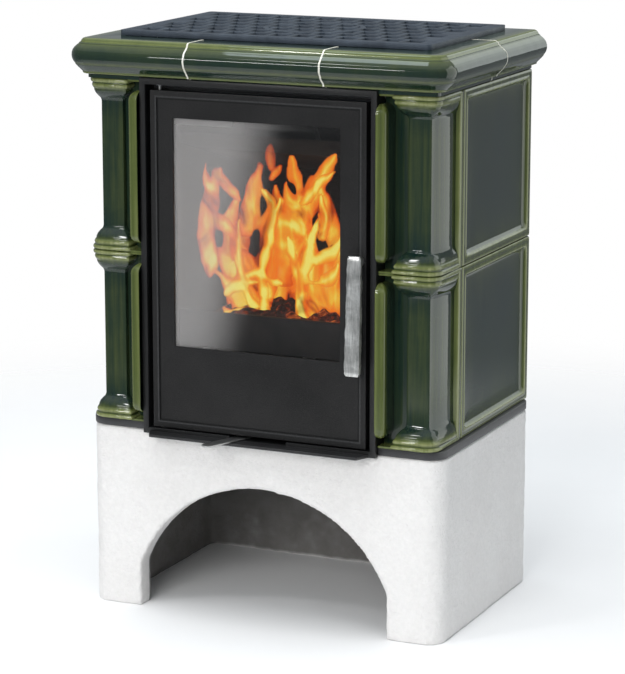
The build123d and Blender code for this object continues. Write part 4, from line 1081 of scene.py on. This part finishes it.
glaze = glaze_material("glaze", 150, (1, 1, 0.035), 0.24, 0.30)
cornice_glaze = glaze_material("cornice_glaze", 60, (0.12, 0.12, 1), 0.10, 0.75)
pointing = pointing_material()
plaster = plaster_material()
hammered = hammered_material()
embers = ember_material()
# nearly black disc of painted shade in the flue's mouth
flue_shade_black = fabric_material("flue_shade_black", (0.010, 0.009, 0.009))
flame = flame_material("flame", -1.0, 1.10)
bright_flame = flame_material("bright_flame", -0.45, 1.30)
black_paint = black_paint_material("black_paint", 0.0125, 900, (0.38, 0.52))
door_paint = door_material()
frame_paint = black_paint_material("frame_paint", 0.004, 900, (0.35, 0.50))
sheet_black = black_paint_material("sheet_black", 0.02, 500, (0.5, 0.65))
tray_paint = black_paint_material("tray_paint", 0.03, 600, (0.4, 0.5))
slate_iron = iron_material("slate_iron", (0.027, 0.036, 0.050), (0.070, 0.090, 0.118))
dark_iron = iron_material("dark_iron", (0.010, 0.009, 0.009), (0.035, 0.030, 0.028))
bright_steel = steel_material("bright_steel", (0.62, 0.62, 0.61))
grey_steel = steel_material("grey_steel", (0.35, 0.35, 0.35))
fireclay = fireclay_material()
rope = fabric_material("glass_rope", (0.42, 0.41, 0.38))
tape = fabric_material("glass_tape", (0.20, 0.20, 0.20))
pane = glass_material()

for course, z0 in (("low", TRAY_Z), ("high", TRAY_Z + TILE_H)):
    corner = make_corner_tile(f"corner_glazed_{course}_right", z0)
    side = make_side_tile(f"side_glazed_{course}_right", z0)
    dress_pair(corner, f"corner_glazed_{course}", glaze, f"corner_tile_{course}")
    dress_pair(side, f"side_glazed_{course}", glaze, f"side_tile_{course}")
make_cornice()
make_plinth()
make_handle()
make_fire()

# CAD nodes shown with rounded edges: body, material and width of the rounding
SOFTENED = {"front_frame": ("stove", frame_paint, 0.0009), "door_leaf": ("door", door_paint, 0.0008),
            "ash_lip": ("stove", black_paint, 0.0006), "base_tray": ("stove", tray_paint, 0.0010),
            "grille": ("stove", slate_iron, 0.0012), "air_lever": ("air_control", bright_steel, 0.0006),
            "log_guard": ("stove", dark_iron, 0.0006), "flue_collar": ("stove", sheet_black, 0.0006)}
for node, (body, material, width) in SOFTENED.items():
    dress(softened(node, width), material, body, node)

# CAD nodes shown as they are, by material
KEPT = [(pane, "door_glass"), (rope, "door_seal"), (tape, "glass_seal"), (dark_iron, "grate"),
        (bright_steel, "hinge_pins"), (cornice_glaze, "cornice_rear"),
        (grey_steel, "rear_screws", "glass_clips", "clip_screws", "latch_keeper", "keeper_screws",
         "handle_spindle", "latch_cam", "air_valve", "air_pivot", "ash_pan"),
        (fireclay, "baffle", "lining_rear", "lining_floor", "lining_side_left", "lining_side_right"),
        (sheet_black, "rear_panel", "flue_cover", "tile_posts", "firebox_front", "firebox_rear",
         "firebox_top", "firebox_floor", "firebox_shelf", "firebox_side_left", "firebox_side_right")]
for material, *nodes in KEPT:
    for node in nodes:
        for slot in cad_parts[node].material_slots:
            slot.material = material
